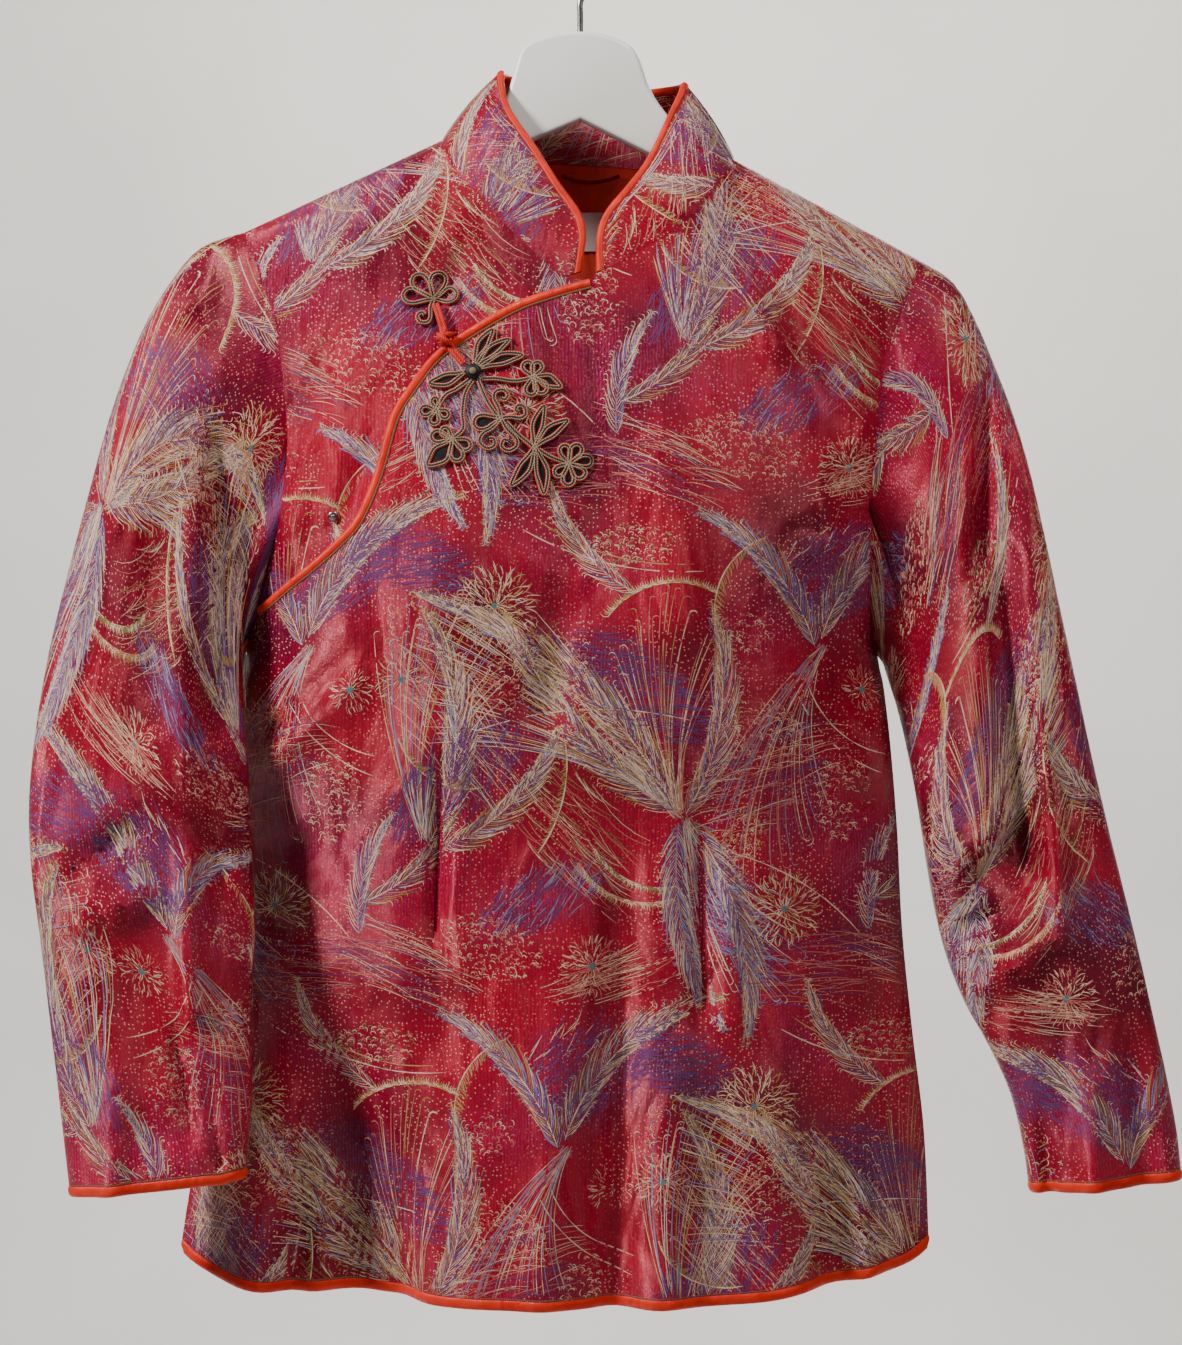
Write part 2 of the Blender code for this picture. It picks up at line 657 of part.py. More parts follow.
def upper_front_panel():
    neck_start = OVERLAP_CHEST_CELLS
    cols = OVERLAP_CHEST_CELLS + NECK_CELLS + SHOULDER_CELLS
    bottom = hem_cells(cols)
    line = sample(OVERLAP_SIDE, ARMHOLE_CELLS - 1) + sample(OVERLAP_CHEST, OVERLAP_CHEST_CELLS)[1:]
    edge = shift_path(line, FRONT_BINDING / 2 + SEAM_GAP)
    left = side_line(1, bottom[0], ARMPIT_LEFT) + edge[:ARMHOLE_CELLS]
    right = side_line(2, bottom[-1], ARMPIT_RIGHT) + armhole(FRONT_ARMHOLE_RIGHT)[::-1][1:]
    neck = sample(FRONT_NECK_RIGHT, NECK_CELLS)
    shoulder = sample((NECK_RIGHT, TIP_RIGHT), SHOULDER_CELLS)
    top = edge[ARMHOLE_CELLS - 1:] + neck[1:] + shoulder[1:]
    grid = patch(bottom, top, left, right)
    rows = len(grid) - 1

    def on_seam(row, col):
        side = col in (0, cols) and row <= SIDE_CELLS
        shoulder_seam = row == rows and col >= neck_start + NECK_CELLS
        return side or shoulder_seam

    return wall_grids(grid, upper_front_y, on_seam)


def under_front_panel():
    left = armhole(FRONT_ARMHOLE_LEFT)[:-1]
    left[-1] = Vector(UNDER_CORNER)
    rows = len(left) - 1
    shoulder = sample((TIP_LEFT, NECK_LEFT), UNDER_SHOULDER_CELLS)
    top = shoulder[:-1] + sample(FRONT_NECK_LEFT, NECK_CELLS)
    cols = len(top) - 1
    bottom = sample((left[-1],) + UNDER_EDGE, cols)
    side_right = [top[-1].lerp(bottom[-1], row / rows) for row in range(rows + 1)]
    grid = patch(bottom, top, left[::-1], side_right[::-1])
    last = len(grid) - 1

    def on_seam(row, col):
        return row == last and col <= UNDER_SHOULDER_CELLS

    return wall_grids(grid, front_y, on_seam)


def column_of(grid, column):
    return [line[column] for line in grid]


def armhole_edge(grids, column):
    """Outer and inner points of a panel's armhole edge from tip to armpit."""
    return [column_of(grid, column)[SIDE_CELLS:][::-1] for grid in grids]


def sleeve_start(front_edge, back_edge, sideways):
    """First ring of a sleeve, outer and inner: both armhole edges, a seam's gap out."""
    rings = []
    for front_line, back_line in zip(front_edge, back_edge):
        tip = (front_line[0] + back_line[0]) / 2
        pit = (front_line[-1] + back_line[-1]) / 2
        points = [tip] + front_line[1:-1] + [pit] + back_line[1:-1][::-1]
        rings.append([point + Vector((sideways * SEAM_GAP, 0.0, 0.0)) for point in points])
    return rings


def left_front_edge():
    """Armhole edge of the left front from tip to armpit, outer and inner points."""
    outer = []
    inner = []
    line = armhole(FRONT_ARMHOLE_LEFT)
    for index, (x, z) in enumerate(line):
        place = seam_point if index in (0, len(line) - 1) else surface_point
        point, normal = place(front_y, x, z)
        outer.append(point)
        inner.append(point - normal * CLOTH)
    return outer, inner


def section_ring(section):
    """Flattened tube section between its outer and inner edge."""
    outer_edge = Vector(section[0:3])
    inner_edge = Vector(section[3:6])
    half_depth = section[6]
    ring = []
    for index in range(2 * ARMHOLE_CELLS):
        angle = math.pi * index / ARMHOLE_CELLS
        across = (1 - math.cos(angle)) / 2
        bulge = 0.0
        if index % ARMHOLE_CELLS:
            bulge = math.copysign(abs(math.sin(angle)) ** SLEEVE_SQUARENESS, math.sin(angle))
        ring.append(outer_edge.lerp(inner_edge, across) - Vector((0.0, bulge * half_depth, 0.0)))
    return ring


def cut_end(sections, length):
    """Sections with the last one drawn back along the sleeve by a length."""
    last = sections[-1]
    before = sections[-2]
    run = (Vector(last[0:3]) - Vector(before[0:3])).length
    share = 1.0 - length / run
    drawn = tuple(low + (high - low) * share for low, high in zip(before, last))
    return sections[:-1] + (drawn,)


def sleeve_rings(start, sections, folds):
    """Outer and inner rings of a sleeve from the armhole to the cuff's cut edge."""
    sections = cut_end(sections, HEM_BINDING + SEAM_GAP)
    rings = [section_ring(section) for section in sections]
    first_ideal = rings[0]
    outer = [start[0]]
    for index, ring in enumerate(rings[1:], 1):
        weight = max(0.0, 1.0 - index / SLEEVE_BLEND_RINGS) ** 2
        moved = []
        for place, point in enumerate(ring):
            carried = point + (start[0][place] - first_ideal[place]) * weight
            if 0 < place < ARMHOLE_CELLS:
                inside = math.sin(math.pi * place / ARMHOLE_CELLS) * smooth(index / 2.0)
                carried = carried + Vector((0.0, fold_depth(folds, carried.x, carried.z) * inside, 0.0))
            moved.append(carried)
        outer.append(moved)
    inner = [start[1]]
    for index in range(1, len(outer)):
        inner.append(shrink_ring(outer, index))
    return outer, inner


def shrink_ring(rings, index):
    """Inner points of a ring: each point moved in by the cloth along its normal."""
    ring = rings[index]
    before = rings[index - 1]
    after = rings[min(index + 1, len(rings) - 1)]
    count = len(ring)
    middle = sum(ring, Vector()) / count
    moved = []
    for place, point in enumerate(ring):
        round_way = ring[(place + 1) % count] - ring[place - 1]
        down_way = after[place] - before[place]
        normal = round_way.cross(down_way).normalized()
        if normal.dot(point - middle) < 0:
            normal = -normal
        moved.append(point - normal * CLOTH)
    return moved


def cuff_binding(outer, inner, sections):
    """Rings of the binding that closes the sleeve's cut edge."""
    last = section_ring(sections[-1])
    middle = sum(outer[-1], Vector()) / len(outer[-1])
    away = (sum(last, Vector()) / len(last) - middle).normalized()
    rings = []
    for outside, inside in zip(outer[-1], inner[-1]):
        centre = (outside + inside) / 2 + away * (SEAM_GAP + HEM_BINDING / 2)
        thick_axis = (outside - inside).normalized()
        thick_axis = (thick_axis - away * thick_axis.dot(away)).normalized()
        rings.append(oval_ring(centre, away, thick_axis, HEM_BINDING, BINDING_THICK))
    return rings


def collar_paths(front, under, back):
    """Seam edge of the collar from the left front round the back to the right front."""
    paths = []
    for layer in (0, 1):
        under_line = under[layer][-1][UNDER_SHOULDER_CELLS:][::-1]
        back_line = back[layer][-1][BACK_SHOULDER_CELLS:BACK_SHOULDER_CELLS + BACK_NECK_CELLS + 1]
        front_line = front[layer][-1][OVERLAP_CHEST_CELLS:OVERLAP_CHEST_CELLS + NECK_CELLS + 1][::-1]
        left_corner = (under_line[-1] + back_line[0]) / 2
        right_corner = (back_line[-1] + front_line[0]) / 2
        line = under_line[:-1] + [left_corner] + back_line[1:-1] + [right_corner] + front_line[1:]
        paths.append(line[1:-1])
    return paths


def collar_grids(seam):
    """Outer and inner points of the collar band, and the middle line of its binding."""
    edge = (
        sample(COLLAR_EDGE_LEFT, NECK_CELLS - 1)
        + sample(COLLAR_EDGE_BACK, BACK_NECK_CELLS)[1:]
        + sample(COLLAR_EDGE_RIGHT, NECK_CELLS - 1)[1:]
    )
    outer = [[] for _ in range(COLLAR_ROWS + 1)]
    inner = [[] for _ in range(COLLAR_ROWS + 1)]
    binding = []
    count = len(edge)
    for index in range(count):
        foot_out = seam[0][index]
        foot_in = seam[1][index]
        rise = edge[index] - foot_out
        rise_way = rise.normalized()
        before = max(index - 1, 0)
        after = min(index + 1, count - 1)
        round_way = (edge[after] + seam[0][after]) - (edge[before] + seam[0][before])
        normal = rise_way.cross(round_way).normalized()
        height = max(rise.length - FRONT_BINDING - SEAM_GAP, COLLAR_LEAST)
        for row in range(COLLAR_ROWS + 1):
            share = row / COLLAR_ROWS
            swell = COLLAR_BULGE * 4 * share * (1 - share) * min(1.0, height / COLLAR_HEIGHT)
            lift = rise_way * (SEAM_GAP + (height - SEAM_GAP) * share)
            turn = smooth(share * 2.0)
            point = foot_out + lift + normal * swell
            wall_in = (foot_in - foot_out) * (1 - turn) - normal * (CLOTH * turn)
            outer[row].append(point)
            inner[row].append(point + wall_in)
        centre = foot_out + rise_way * (height + HEM_LEEWAY + FRONT_BINDING / 2) - normal * CLOTH / 2
        binding.append((centre, rise_way, normal))
    return outer, inner, binding


def binding_rings(stations, wide, thick):
    """Oval rings square to a path, from its middle points, width and thickness axes."""
    rings = []
    for centre, wide_axis, thick_axis in stations:
        rings.append(oval_ring(centre, wide_axis, thick_axis, wide, thick))
    return rings


def hem_binding(front, back):
    """Stations of the hem binding all round, under the cut edges of front and back."""
    stations = []
    for layers, step in ((front, 1), (back, -1)):
        outer_line = layers[0][0][::step]
        inner_line = layers[1][0][::step]
        for index in range(len(outer_line) - 1):
            outside = outer_line[index]
            inside = inner_line[index]
            away = Vector((0.0, 0.0, -1.0))
            if index == 0:
                outside = Vector((outside.x, 0.0, outside.z))
                inside = Vector((inside.x, 0.0, inside.z))
            else:
                run = (outer_line[index + 1] - outer_line[index - 1]) * step
                away = Vector((run.z, 0.0, -run.x)).normalized()
            thick_axis = outside - inside
            thick_axis = (thick_axis - away * thick_axis.dot(away)).normalized()
            centre = (outside + inside) / 2 + away * (SEAM_GAP + HEM_LEEWAY + HEM_BINDING / 2)
            stations.append((centre, away, thick_axis))
    return stations


def overlap_binding(front):
    """Stations of the binding along the upper front's free edge, beside its cut edge."""
    outer_line = column_of(front[0], 0)[SIDE_CELLS + 1:] + front[0][-1][1:OVERLAP_CHEST_CELLS + 1]
    inner_line = column_of(front[1], 0)[SIDE_CELLS + 1:] + front[1][-1][1:OVERLAP_CHEST_CELLS + 1]
    stations = []
    for index, (outside, inside) in enumerate(zip(outer_line, inner_line)):
        run = outer_line[min(index + 1, len(outer_line) - 1)] - outer_line[max(index - 1, 0)]
        normal = (outside - inside).normalized()
        away = run.cross(normal).normalized()
        if away.z < 0:
            away = -away
        middle = (outside + inside) / 2 + normal * BINDING_RAISE
        stations.append((middle + away * (SEAM_GAP + FRONT_BINDING / 2), away, normal))
    return stations


def plate_on_front(name, outline_rings, surface, base_gap, thick):
    """Solid plate over the cloth from rings of x, z points that share one centre."""
    build = bmesh.new()
    layers = []
    for height in (base_gap, base_gap + thick):
        loops = []
        for ring in outline_rings:
            loop = []
            for x, z in ring:
                point, normal = surface_point(surface, x, z)
                loop.append(build.verts.new((point + normal * height) * MM))
            loops.append(loop)
        layers.append(loops)
    for loops in layers:
        for small, large in zip(loops, loops[1:]):
            for index in range(len(large)):
                following = (index + 1) % len(large)
                build.faces.new((small[index], small[following], large[following], large[index]))
        build.faces.new(loops[0])
    lower = layers[0][-1]
    upper = layers[1][-1]
    for index in range(len(lower)):
        following = (index + 1) % len(lower)
        build.faces.new((lower[index], lower[following], upper[following], upper[index]))
    return close_mesh(name, build)


def petal_ring(x, z, reach, petals, turn, waist, share):
    ring = []
    for index in range(FLOWER_SIDES):
        angle = 2 * math.pi * index / FLOWER_SIDES
        lobe = abs(math.cos(petals * (angle - math.radians(turn)) / 2)) ** LOBE_ROUNDNESS
        radius = reach * share * (waist + (1 - waist) * lobe)
        ring.append((x + radius * math.cos(angle), z + radius * math.sin(angle)))
    return ring


def add_flower(flower, surface, collection):
    name, x, z, reach, petals, turn, waist = flower
    rings = [petal_ring(x, z, reach, petals, turn, waist, share) for share in FLOWER_RINGS]
    mesh = plate_on_front(name, rings, surface, LAYER_GAP, CORD_THICK)
    add_object(name, mesh, "cord", collection)


def add_leaf(leaf, surface, collection):
    name, root, tip, half_width = leaf
    root = Vector(root)
    run = Vector(tip) - root
    cross = Vector((-run[1], run[0])).normalized()
    middle = root + run / 2
    rings = []
    for share in LEAF_RINGS:
        ring = []
        for index in range(LEAF_SIDES):
            angle = 2 * math.pi * index / LEAF_SIDES
            along = run / 2 * math.cos(angle)
            ring.append(middle + (along + cross * (half_width * math.sin(angle))) * share)
        rings.append(ring)
    mesh = plate_on_front(name, rings, surface, LAYER_GAP, CORD_THICK)
    add_object(name, mesh, "cord", collection)


def add_cord(name, path, lift, width, finish_name, surface, collection, closed=False):
    """Round cord that lies on the cloth along a path of x, z points."""
    curve = bpy.data.curves.new(name, "CURVE")
    curve.dimensions = "3D"
    curve.bevel_depth = width / 2 * MM
    curve.bevel_resolution = 1
    curve.use_fill_caps = not closed
    spline = curve.splines.new("POLY")
    spline.points.add(len(path) - 1)
    spline.use_cyclic_u = closed
    for control, (x, z) in zip(spline.points, path):
        point, normal = surface_point(surface, x, z)
        control.co = (*((point + normal * (lift + width / 2)) * MM), 1.0)
    add_object(name, curve, finish_name, collection)


def add_ball(name, place, radius, flatten, lift, finish_name, surface, collection):
    """Rounded bead that sits on the cloth."""
    point, normal = surface_point(surface, *place)
    build = bmesh.new()
    bmesh.ops.create_uvsphere(build, u_segments=12, v_segments=8, radius=radius * MM)
    turn = Vector((0.0, 0.0, 1.0)).rotation_difference(normal).to_matrix()
    centre = point + normal * (lift + radius * flatten)
    for vertex in build.verts:
        vertex.co.z *= flatten
        vertex.co = turn @ vertex.co + centre * MM
    add_object(name, close_mesh(name, build), finish_name, collection)


def add_closure(collection):
    """Cord flowers, knot, loop and the snap beside the overlap."""
    add_flower(UPPER_FLOWER, front_y, collection)
    for flower in LOWER_FLOWERS:
        add_flower(flower, upper_front_y, collection)
    for leaf in LEAVES:
        add_leaf(leaf, upper_front_y, collection)
    hub = Vector(FROG_HUB)
    for name, towards, near, far in STEMS:
        way = (Vector(towards) - hub).normalized()
        path = [hub + way * distance for distance in (near, (near + far) / 2, far)]
        add_cord(name, path, LAYER_GAP, STEM_WIDTH, "cord", upper_front_y, collection)
    strap_lift = LAYER_GAP + CORD_THICK + SEAM_GAP
    add_cord("frog_strap", STRAP, strap_lift, STRAP_WIDTH, "red_cord", front_y, collection)
    add_ball("frog_hub", FROG_HUB, HUB_RADIUS, HUB_FLATNESS, LAYER_GAP, "cord", upper_front_y, collection)
    over_binding = BINDING_THICK / 2 - CLOTH / 2 + BINDING_RAISE + SEAM_GAP
    add_ball("knot", KNOT_CENTRE, KNOT_RADIUS, KNOT_FLATNESS, over_binding, "red_cord", upper_front_y, collection)
    add_ball("snap", SNAP_CENTRE, SNAP_RADIUS, SNAP_FLATNESS, SEAM_GAP, "steel", front_y, collection)
    along = (Vector(FROG_HUB) - Vector(KNOT_CENTRE)).normalized()
    cross = Vector((-along[1], along[0]))
    loop = []
    for index in range(LOOP_SIDES):
        angle = 2 * math.pi * index / LOOP_SIDES
        loop.append(
            Vector(LOOP_CENTRE) + along * (LOOP_LENGTH / 2 * math.cos(angle))
            + cross * (LOOP_WIDTH / 2 * math.sin(angle))
        )
    add_cord("frog_loop", loop, SEAM_GAP, LOOP_CORD, "red_cord", upper_front_y, collection, True)


def add_neck_inside(collection):
    """Lining, blank label and hanging loop, where they show inside the neck."""
    cols = 8
    rows = 5
    grid = []
    for row in range(rows + 1):
        line = []
        for col in range(cols + 1):
            x = LINING_LEFT + (LINING_RIGHT - LINING_LEFT) * col / cols
            neck_z = read_table(BACK_NECK, 1, x)
            line.append(Vector((x, neck_z - LINING_TOP_GAP - LINING_DROP * (rows - row) / rows)))
        grid.append(line)
    sink = CLOTH + LINING_GAP
    outer, inner = wall_grids(grid, back_y, lambda row, col: False, LINING_THICK, sink)
    add_object("neck_lining", wall_mesh("neck_lining", outer, inner), "lining", collection)

    grid = []
    for row in range(3):
        z = LABEL_CENTRE[1] + LABEL_SIZE[1] * (row / 2 - 0.5)
        line = [Vector((LABEL_CENTRE[0] + LABEL_SIZE[0] * (col / 4 - 0.5), z)) for col in range(5)]
        grid.append(line)
    sink += LINING_THICK + LABEL_GAP
    outer, inner = wall_grids(grid, back_y, lambda row, col: False, LABEL_THICK, sink)
    add_object("label", wall_mesh("label", outer, inner), "label", collection)

    path = []
    for index in range(9):
        share = index / 8
        sag = HANG_LOOP_SAG * 4 * share * (1 - share)
        path.append((HANG_LOOP_LEFT + (HANG_LOOP_RIGHT - HANG_LOOP_LEFT) * share, HANG_LOOP_Z - sag))
    lift = -(sink + HANG_LOOP_WIDTH)
    add_cord("hanging_loop", path, lift, HANG_LOOP_WIDTH, "brocade", back_y, collection)


def hanger_outline():
    """Points of the moulded hanger from its left tip over the head and back along the arms."""
    places = (HANGER_TIP_LEFT, HANGER_REST_LEFT, HANGER_REST_RIGHT, HANGER_TIP_RIGHT)
    tip_left, rest_left, rest_right, tip_right = [Vector((x, ridge(x) - HANGER_DROP)) for x in places]
    head = dense_curve((rest_left,) + HANGER_HEAD + (rest_right,), 3)
    along_left = (rest_left - tip_left).normalized()
    along_right = (tip_right - rest_right).normalized()
    under_left = tip_left + Vector((along_left[1], -along_left[0])) * HANGER_TIP_DEPTH
    under_right = tip_right + Vector((along_right[1], -along_right[0])) * HANGER_TIP_DEPTH
    outline = [tip_left] + head + [tip_right]
    outline += rounded_end(tip_right, under_right) + [under_right]
    outline += [Vector(HANGER_NOTCH), under_left]
    outline += rounded_end(under_left, tip_left)
    return outline


def rounded_end(start, end):
    """Flattened half round at an arm's tip, without its first and last point."""
    middle = (start + end) / 2
    spoke = start - middle
    cross = Vector((spoke[1], -spoke[0])) * HANGER_TIP_ROUND
    arc = []
    for index in range(1, 6):
        angle = math.pi * index / 6
        arc.append(middle + spoke * math.cos(angle) + cross * math.sin(angle))
    return arc


def add_hanger(collection):
    curve = bpy.data.curves.new("hanger_outline", "CURVE")
    curve.dimensions = "2D"
    curve.fill_mode = "BOTH"
    curve.extrude = (HANGER_THICK / 2 - HANGER_EDGE) * MM
    curve.bevel_depth = HANGER_EDGE * MM
    curve.bevel_resolution = 0
    curve.offset = -HANGER_EDGE * MM
    outline = hanger_outline()
    spline = curve.splines.new("POLY")
    spline.points.add(len(outline) - 1)
    spline.use_cyclic_u = True
    for control, (x, z) in zip(spline.points, outline):
        control.co = (x * MM, z * MM, 0.0, 1.0)
    helper = bpy.data.objects.new("hanger_outline", curve)
    collection.objects.link(helper)
    helper.rotation_euler = (math.radians(90), 0.0, 0.0)
    bpy.context.view_layer.update()
    evaluated = helper.evaluated_get(bpy.context.evaluated_depsgraph_get())
    mesh = bpy.data.meshes.new_from_object(evaluated)
    mesh.transform(helper.matrix_world)
    bpy.data.objects.remove(helper, do_unlink=True)
    build = bmesh.new()
    build.from_mesh(mesh)
    bmesh.ops.remove_doubles(build, verts=build.verts, dist=1e-5)
    mesh.materials.clear()
    add_object("hanger", close_mesh("hanger", build), "plastic", collection)


def add_hook(collection):
    """Wire hook: a straight shank, then most of a ring that opens to the left."""
    centre_z = HOOK_WIRE / 2 - HOOK_RADIUS
    path = [(0.8, HOOK_FOOT), (0.8, (HOOK_FOOT + HOOK_BEND) / 2), (0.8, HOOK_BEND), (3.2, HOOK_BEND + 4.0)]
    for index in range(21):
        angle = math.radians(-58 + 13.0 * index)
        path.append((HOOK_RADIUS * math.cos(angle), centre_z + HOOK_RADIUS * math.sin(angle)))
    curve = bpy.data.curves.new("hook", "CURVE")
    curve.dimensions = "3D"
    curve.bevel_depth = HOOK_WIRE / 2 * MM
    curve.bevel_resolution = 2
    curve.use_fill_caps = True
    spline = curve.splines.new("POLY")
    spline.points.add(len(path) - 1)
    for control, (x, z) in zip(spline.points, path):
        control.co = (x * MM, 0.0, z * MM, 1.0)
    add_object("hook", curve, "steel", collection)


def add_sleeve(name, cuff_name, start, sections, folds, collection):
    outer, inner = sleeve_rings(start, sections, folds)
    add_object(name, wall_mesh(name, outer, inner, closed=True), "brocade", collection)
    rings = cuff_binding(outer, inner, sections)
    add_object(cuff_name, rod_mesh(cuff_name, rings, True), "satin_binding", collection)


def build_jacket():
    clear_scene()
    collection = make_collection()
    back = back_panel()
    front = upper_front_panel()
    under = under_front_panel()
    add_object("back", wall_mesh("back", *back), "brocade", collection)
    add_object("front_upper", wall_mesh("front_upper", *front), "brocade", collection)
    add_object("front_under", wall_mesh("front_under", *under), "brocade", collection)

    start = sleeve_start(left_front_edge(), armhole_edge(back, 0), -1.0)
    add_sleeve("sleeve_left", "binding_cuff_left", start, LEFT_SLEEVE, LEFT_SLEEVE_FOLDS, collection)
    start = sleeve_start(armhole_edge(front, -1), armhole_edge(back, -1), 1.0)
    add_sleeve("sleeve_right", "binding_cuff_right", start, RIGHT_SLEEVE, RIGHT_SLEEVE_FOLDS, collection)

    collar_outer, collar_inner, collar_edge = collar_grids(collar_paths(front, under, back))
    add_object("collar", wall_mesh("collar", collar_outer, collar_inner), "brocade", collection)
    rings = binding_rings(collar_edge, FRONT_BINDING, BINDING_THICK)
    add_object("binding_collar", rod_mesh("binding_collar", rings, False), "satin_binding", collection)
    rings = binding_rings(overlap_binding(front), FRONT_BINDING, BINDING_THICK)
    add_object("binding_overlap", rod_mesh("binding_overlap", rings, False), "satin_binding", collection)
    rings = binding_rings(hem_binding(front, back), HEM_BINDING, BINDING_THICK)
    add_object("binding_hem", rod_mesh("binding_hem", rings, True), "satin_binding", collection)

    add_closure(collection)
    add_neck_inside(collection)
    add_hanger(collection)
    add_hook(collection)


build_jacket()
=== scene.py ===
"""Looks of a padded satin jacket on its hanger, with its cloth, woven print, bindings and cord frogs.

Tables are in millimetres, as in the part's own source: x runs to the viewer's right, z is
height below the rod, and the front of the jacket faces -y.
"""
import math

import bmesh
import bpy
import numpy as np
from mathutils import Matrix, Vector


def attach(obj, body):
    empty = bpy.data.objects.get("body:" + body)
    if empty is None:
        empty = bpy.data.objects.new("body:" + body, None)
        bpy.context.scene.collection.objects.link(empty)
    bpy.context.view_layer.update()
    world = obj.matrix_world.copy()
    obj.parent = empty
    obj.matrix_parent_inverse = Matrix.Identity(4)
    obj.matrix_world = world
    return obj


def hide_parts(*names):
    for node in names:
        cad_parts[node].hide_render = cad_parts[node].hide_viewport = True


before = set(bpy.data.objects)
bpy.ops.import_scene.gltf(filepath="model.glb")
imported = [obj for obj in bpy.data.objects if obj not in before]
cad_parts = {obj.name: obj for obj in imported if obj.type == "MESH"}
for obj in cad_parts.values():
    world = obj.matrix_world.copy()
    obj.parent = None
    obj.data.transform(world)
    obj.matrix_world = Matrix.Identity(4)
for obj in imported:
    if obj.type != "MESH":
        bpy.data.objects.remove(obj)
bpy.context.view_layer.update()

MM = 0.001
DENSITY = 4
MERGE = 1e-6

# Driving sizes of the cloth, its bindings and its round sides
CLOTH = 2.5
BINDING_TUCK = 0.7
FRONT_BINDING = 5.5
HEM_BINDING = 7.0
BINDING_THICK = 3.8
BINDING_RAISE = 0.4
SHOULDER_ROLL = 95.0
NECK_RISE = 50.0
SIDE_ROUND = 3.2
ARMPIT_MITRE = (0.5, 0.87)
ARMPIT_NEAR = 0.5
SEAM_INSET = 4.0
FRONT_SETTLE = 30.0
BACK_SETTLE = 25.0
LIFT_SETTLE = 9.0
FOLD_HEAD_FADE = 0.6
FOLD_FOOT_FADE = 0.35

# Cells along the edges that two pieces share
SIDE_CELLS = 11 * DENSITY
ARMHOLE_CELLS = 12 * DENSITY
NECK_CELLS = 9 * DENSITY
SHOULDER_CELLS = 8 * DENSITY
BACK_NECK_CELLS = 8 * DENSITY
BACK_SHOULDER_CELLS = 6 * DENSITY
UNDER_SHOULDER_CELLS = 5 * DENSITY
ARMHOLE_GRADE = 1.7

# Shoulder seam: outer end and neck end on each side (x, z)
TIP_LEFT = (-200.4, -181.8)
NECK_LEFT = (-82.2, -126.6)
NECK_RIGHT = (93.6, -138.6)
TIP_RIGHT = (207.6, -200.4)
FRONT_NECK = (6.6, -217.5)
ARMPIT_LEFT = (-199.2, -426.6)
ARMPIT_RIGHT = (178.8, -435.6)

# Body sections: height, left side, right side, front depth, back depth.
# Above the armpits the sides are those of the whole width with the sleeve heads.
BODY = (
    (-60.0, -246.0, 262.0, 40.0, 30.0),
    (-180.0, -240.0, 255.0, 50.0, 40.0),
    (-240.0, -228.0, 243.0, 58.0, 40.0),
    (-300.0, -215.0, 225.0, 66.0, 44.0),
    (-370.0, -205.0, 200.0, 74.0, 46.0),
    (-430.0, -199.2, 179.5, 76.0, 46.0),
    (-455.0, -204.5, 183.0, 74.6, 45.4),
    (-490.0, -207.5, 187.0, 72.0, 44.0),
    (-540.0, -206.5, 191.0, 64.0, 42.0),
    (-600.0, -208.5, 194.0, 62.0, 43.0),
    (-660.0, -214.0, 200.0, 62.0, 44.0),
    (-720.0, -227.0, 207.0, 61.0, 44.0),
    (-790.0, -238.8, 210.0, 60.0, 42.0),
    (-860.0, -246.0, 212.0, 60.0, 42.0),
)

# Hem line (x, z), a shallow curve that rounds up to the side seams
HEM = (
    (-238.8, -793.0), (-226.0, -801.0), (-207.0, -807.0), (-180.0, -811.0),
    (-140.0, -811.0), (-60.0, -815.5), (20.0, -816.0), (100.0, -813.5),
    (150.0, -806.5), (188.0, -801.0), (201.0, -796.5), (210.0, -790.0),
)

# Armhole seams from shoulder tip to armpit (x, z)
FRONT_ARMHOLE_LEFT = (
    TIP_LEFT, (-192.0, -203.2), (-185.6, -219.8), (-178.0, -242.3), (-172.4, -295.1),
    (-173.2, -323.8), (-176.7, -356.0), (-184.5, -379.3), (-192.9, -410.0), ARMPIT_LEFT,
)
FRONT_ARMHOLE_RIGHT = (
    TIP_RIGHT, (192.8, -226.9), (179.8, -261.9), (173.6, -320.7), (172.6, -351.3),
    (173.0, -397.1), (175.6, -420.7), ARMPIT_RIGHT,
)
BACK_ARMHOLE_LEFT = (
    TIP_LEFT, (-195.0, -215.0), (-186.0, -260.0), (-182.0, -310.0), (-184.0, -360.0),
    (-191.0, -400.0), ARMPIT_LEFT,
)
BACK_ARMHOLE_RIGHT = (
    TIP_RIGHT, (200.0, -230.0), (190.0, -275.0), (183.0, -325.0), (180.0, -370.0),
    (178.0, -410.0), ARMPIT_RIGHT,
)

# Neck seams (x, z)
FRONT_NECK_LEFT = (NECK_LEFT, (-74.3, -147.3), (-60.1, -165.3), (-35.5, -191.7), (-9.0, -215.0), FRONT_NECK)
FRONT_NECK_RIGHT = (FRONT_NECK, (12.5, -213.5), (32.3, -202.8), (60.2, -184.6), (81.5, -158.6), NECK_RIGHT)
BACK_NECK = (NECK_LEFT, (-45.0, -133.0), (5.0, -136.0), (55.0, -138.5), NECK_RIGHT)

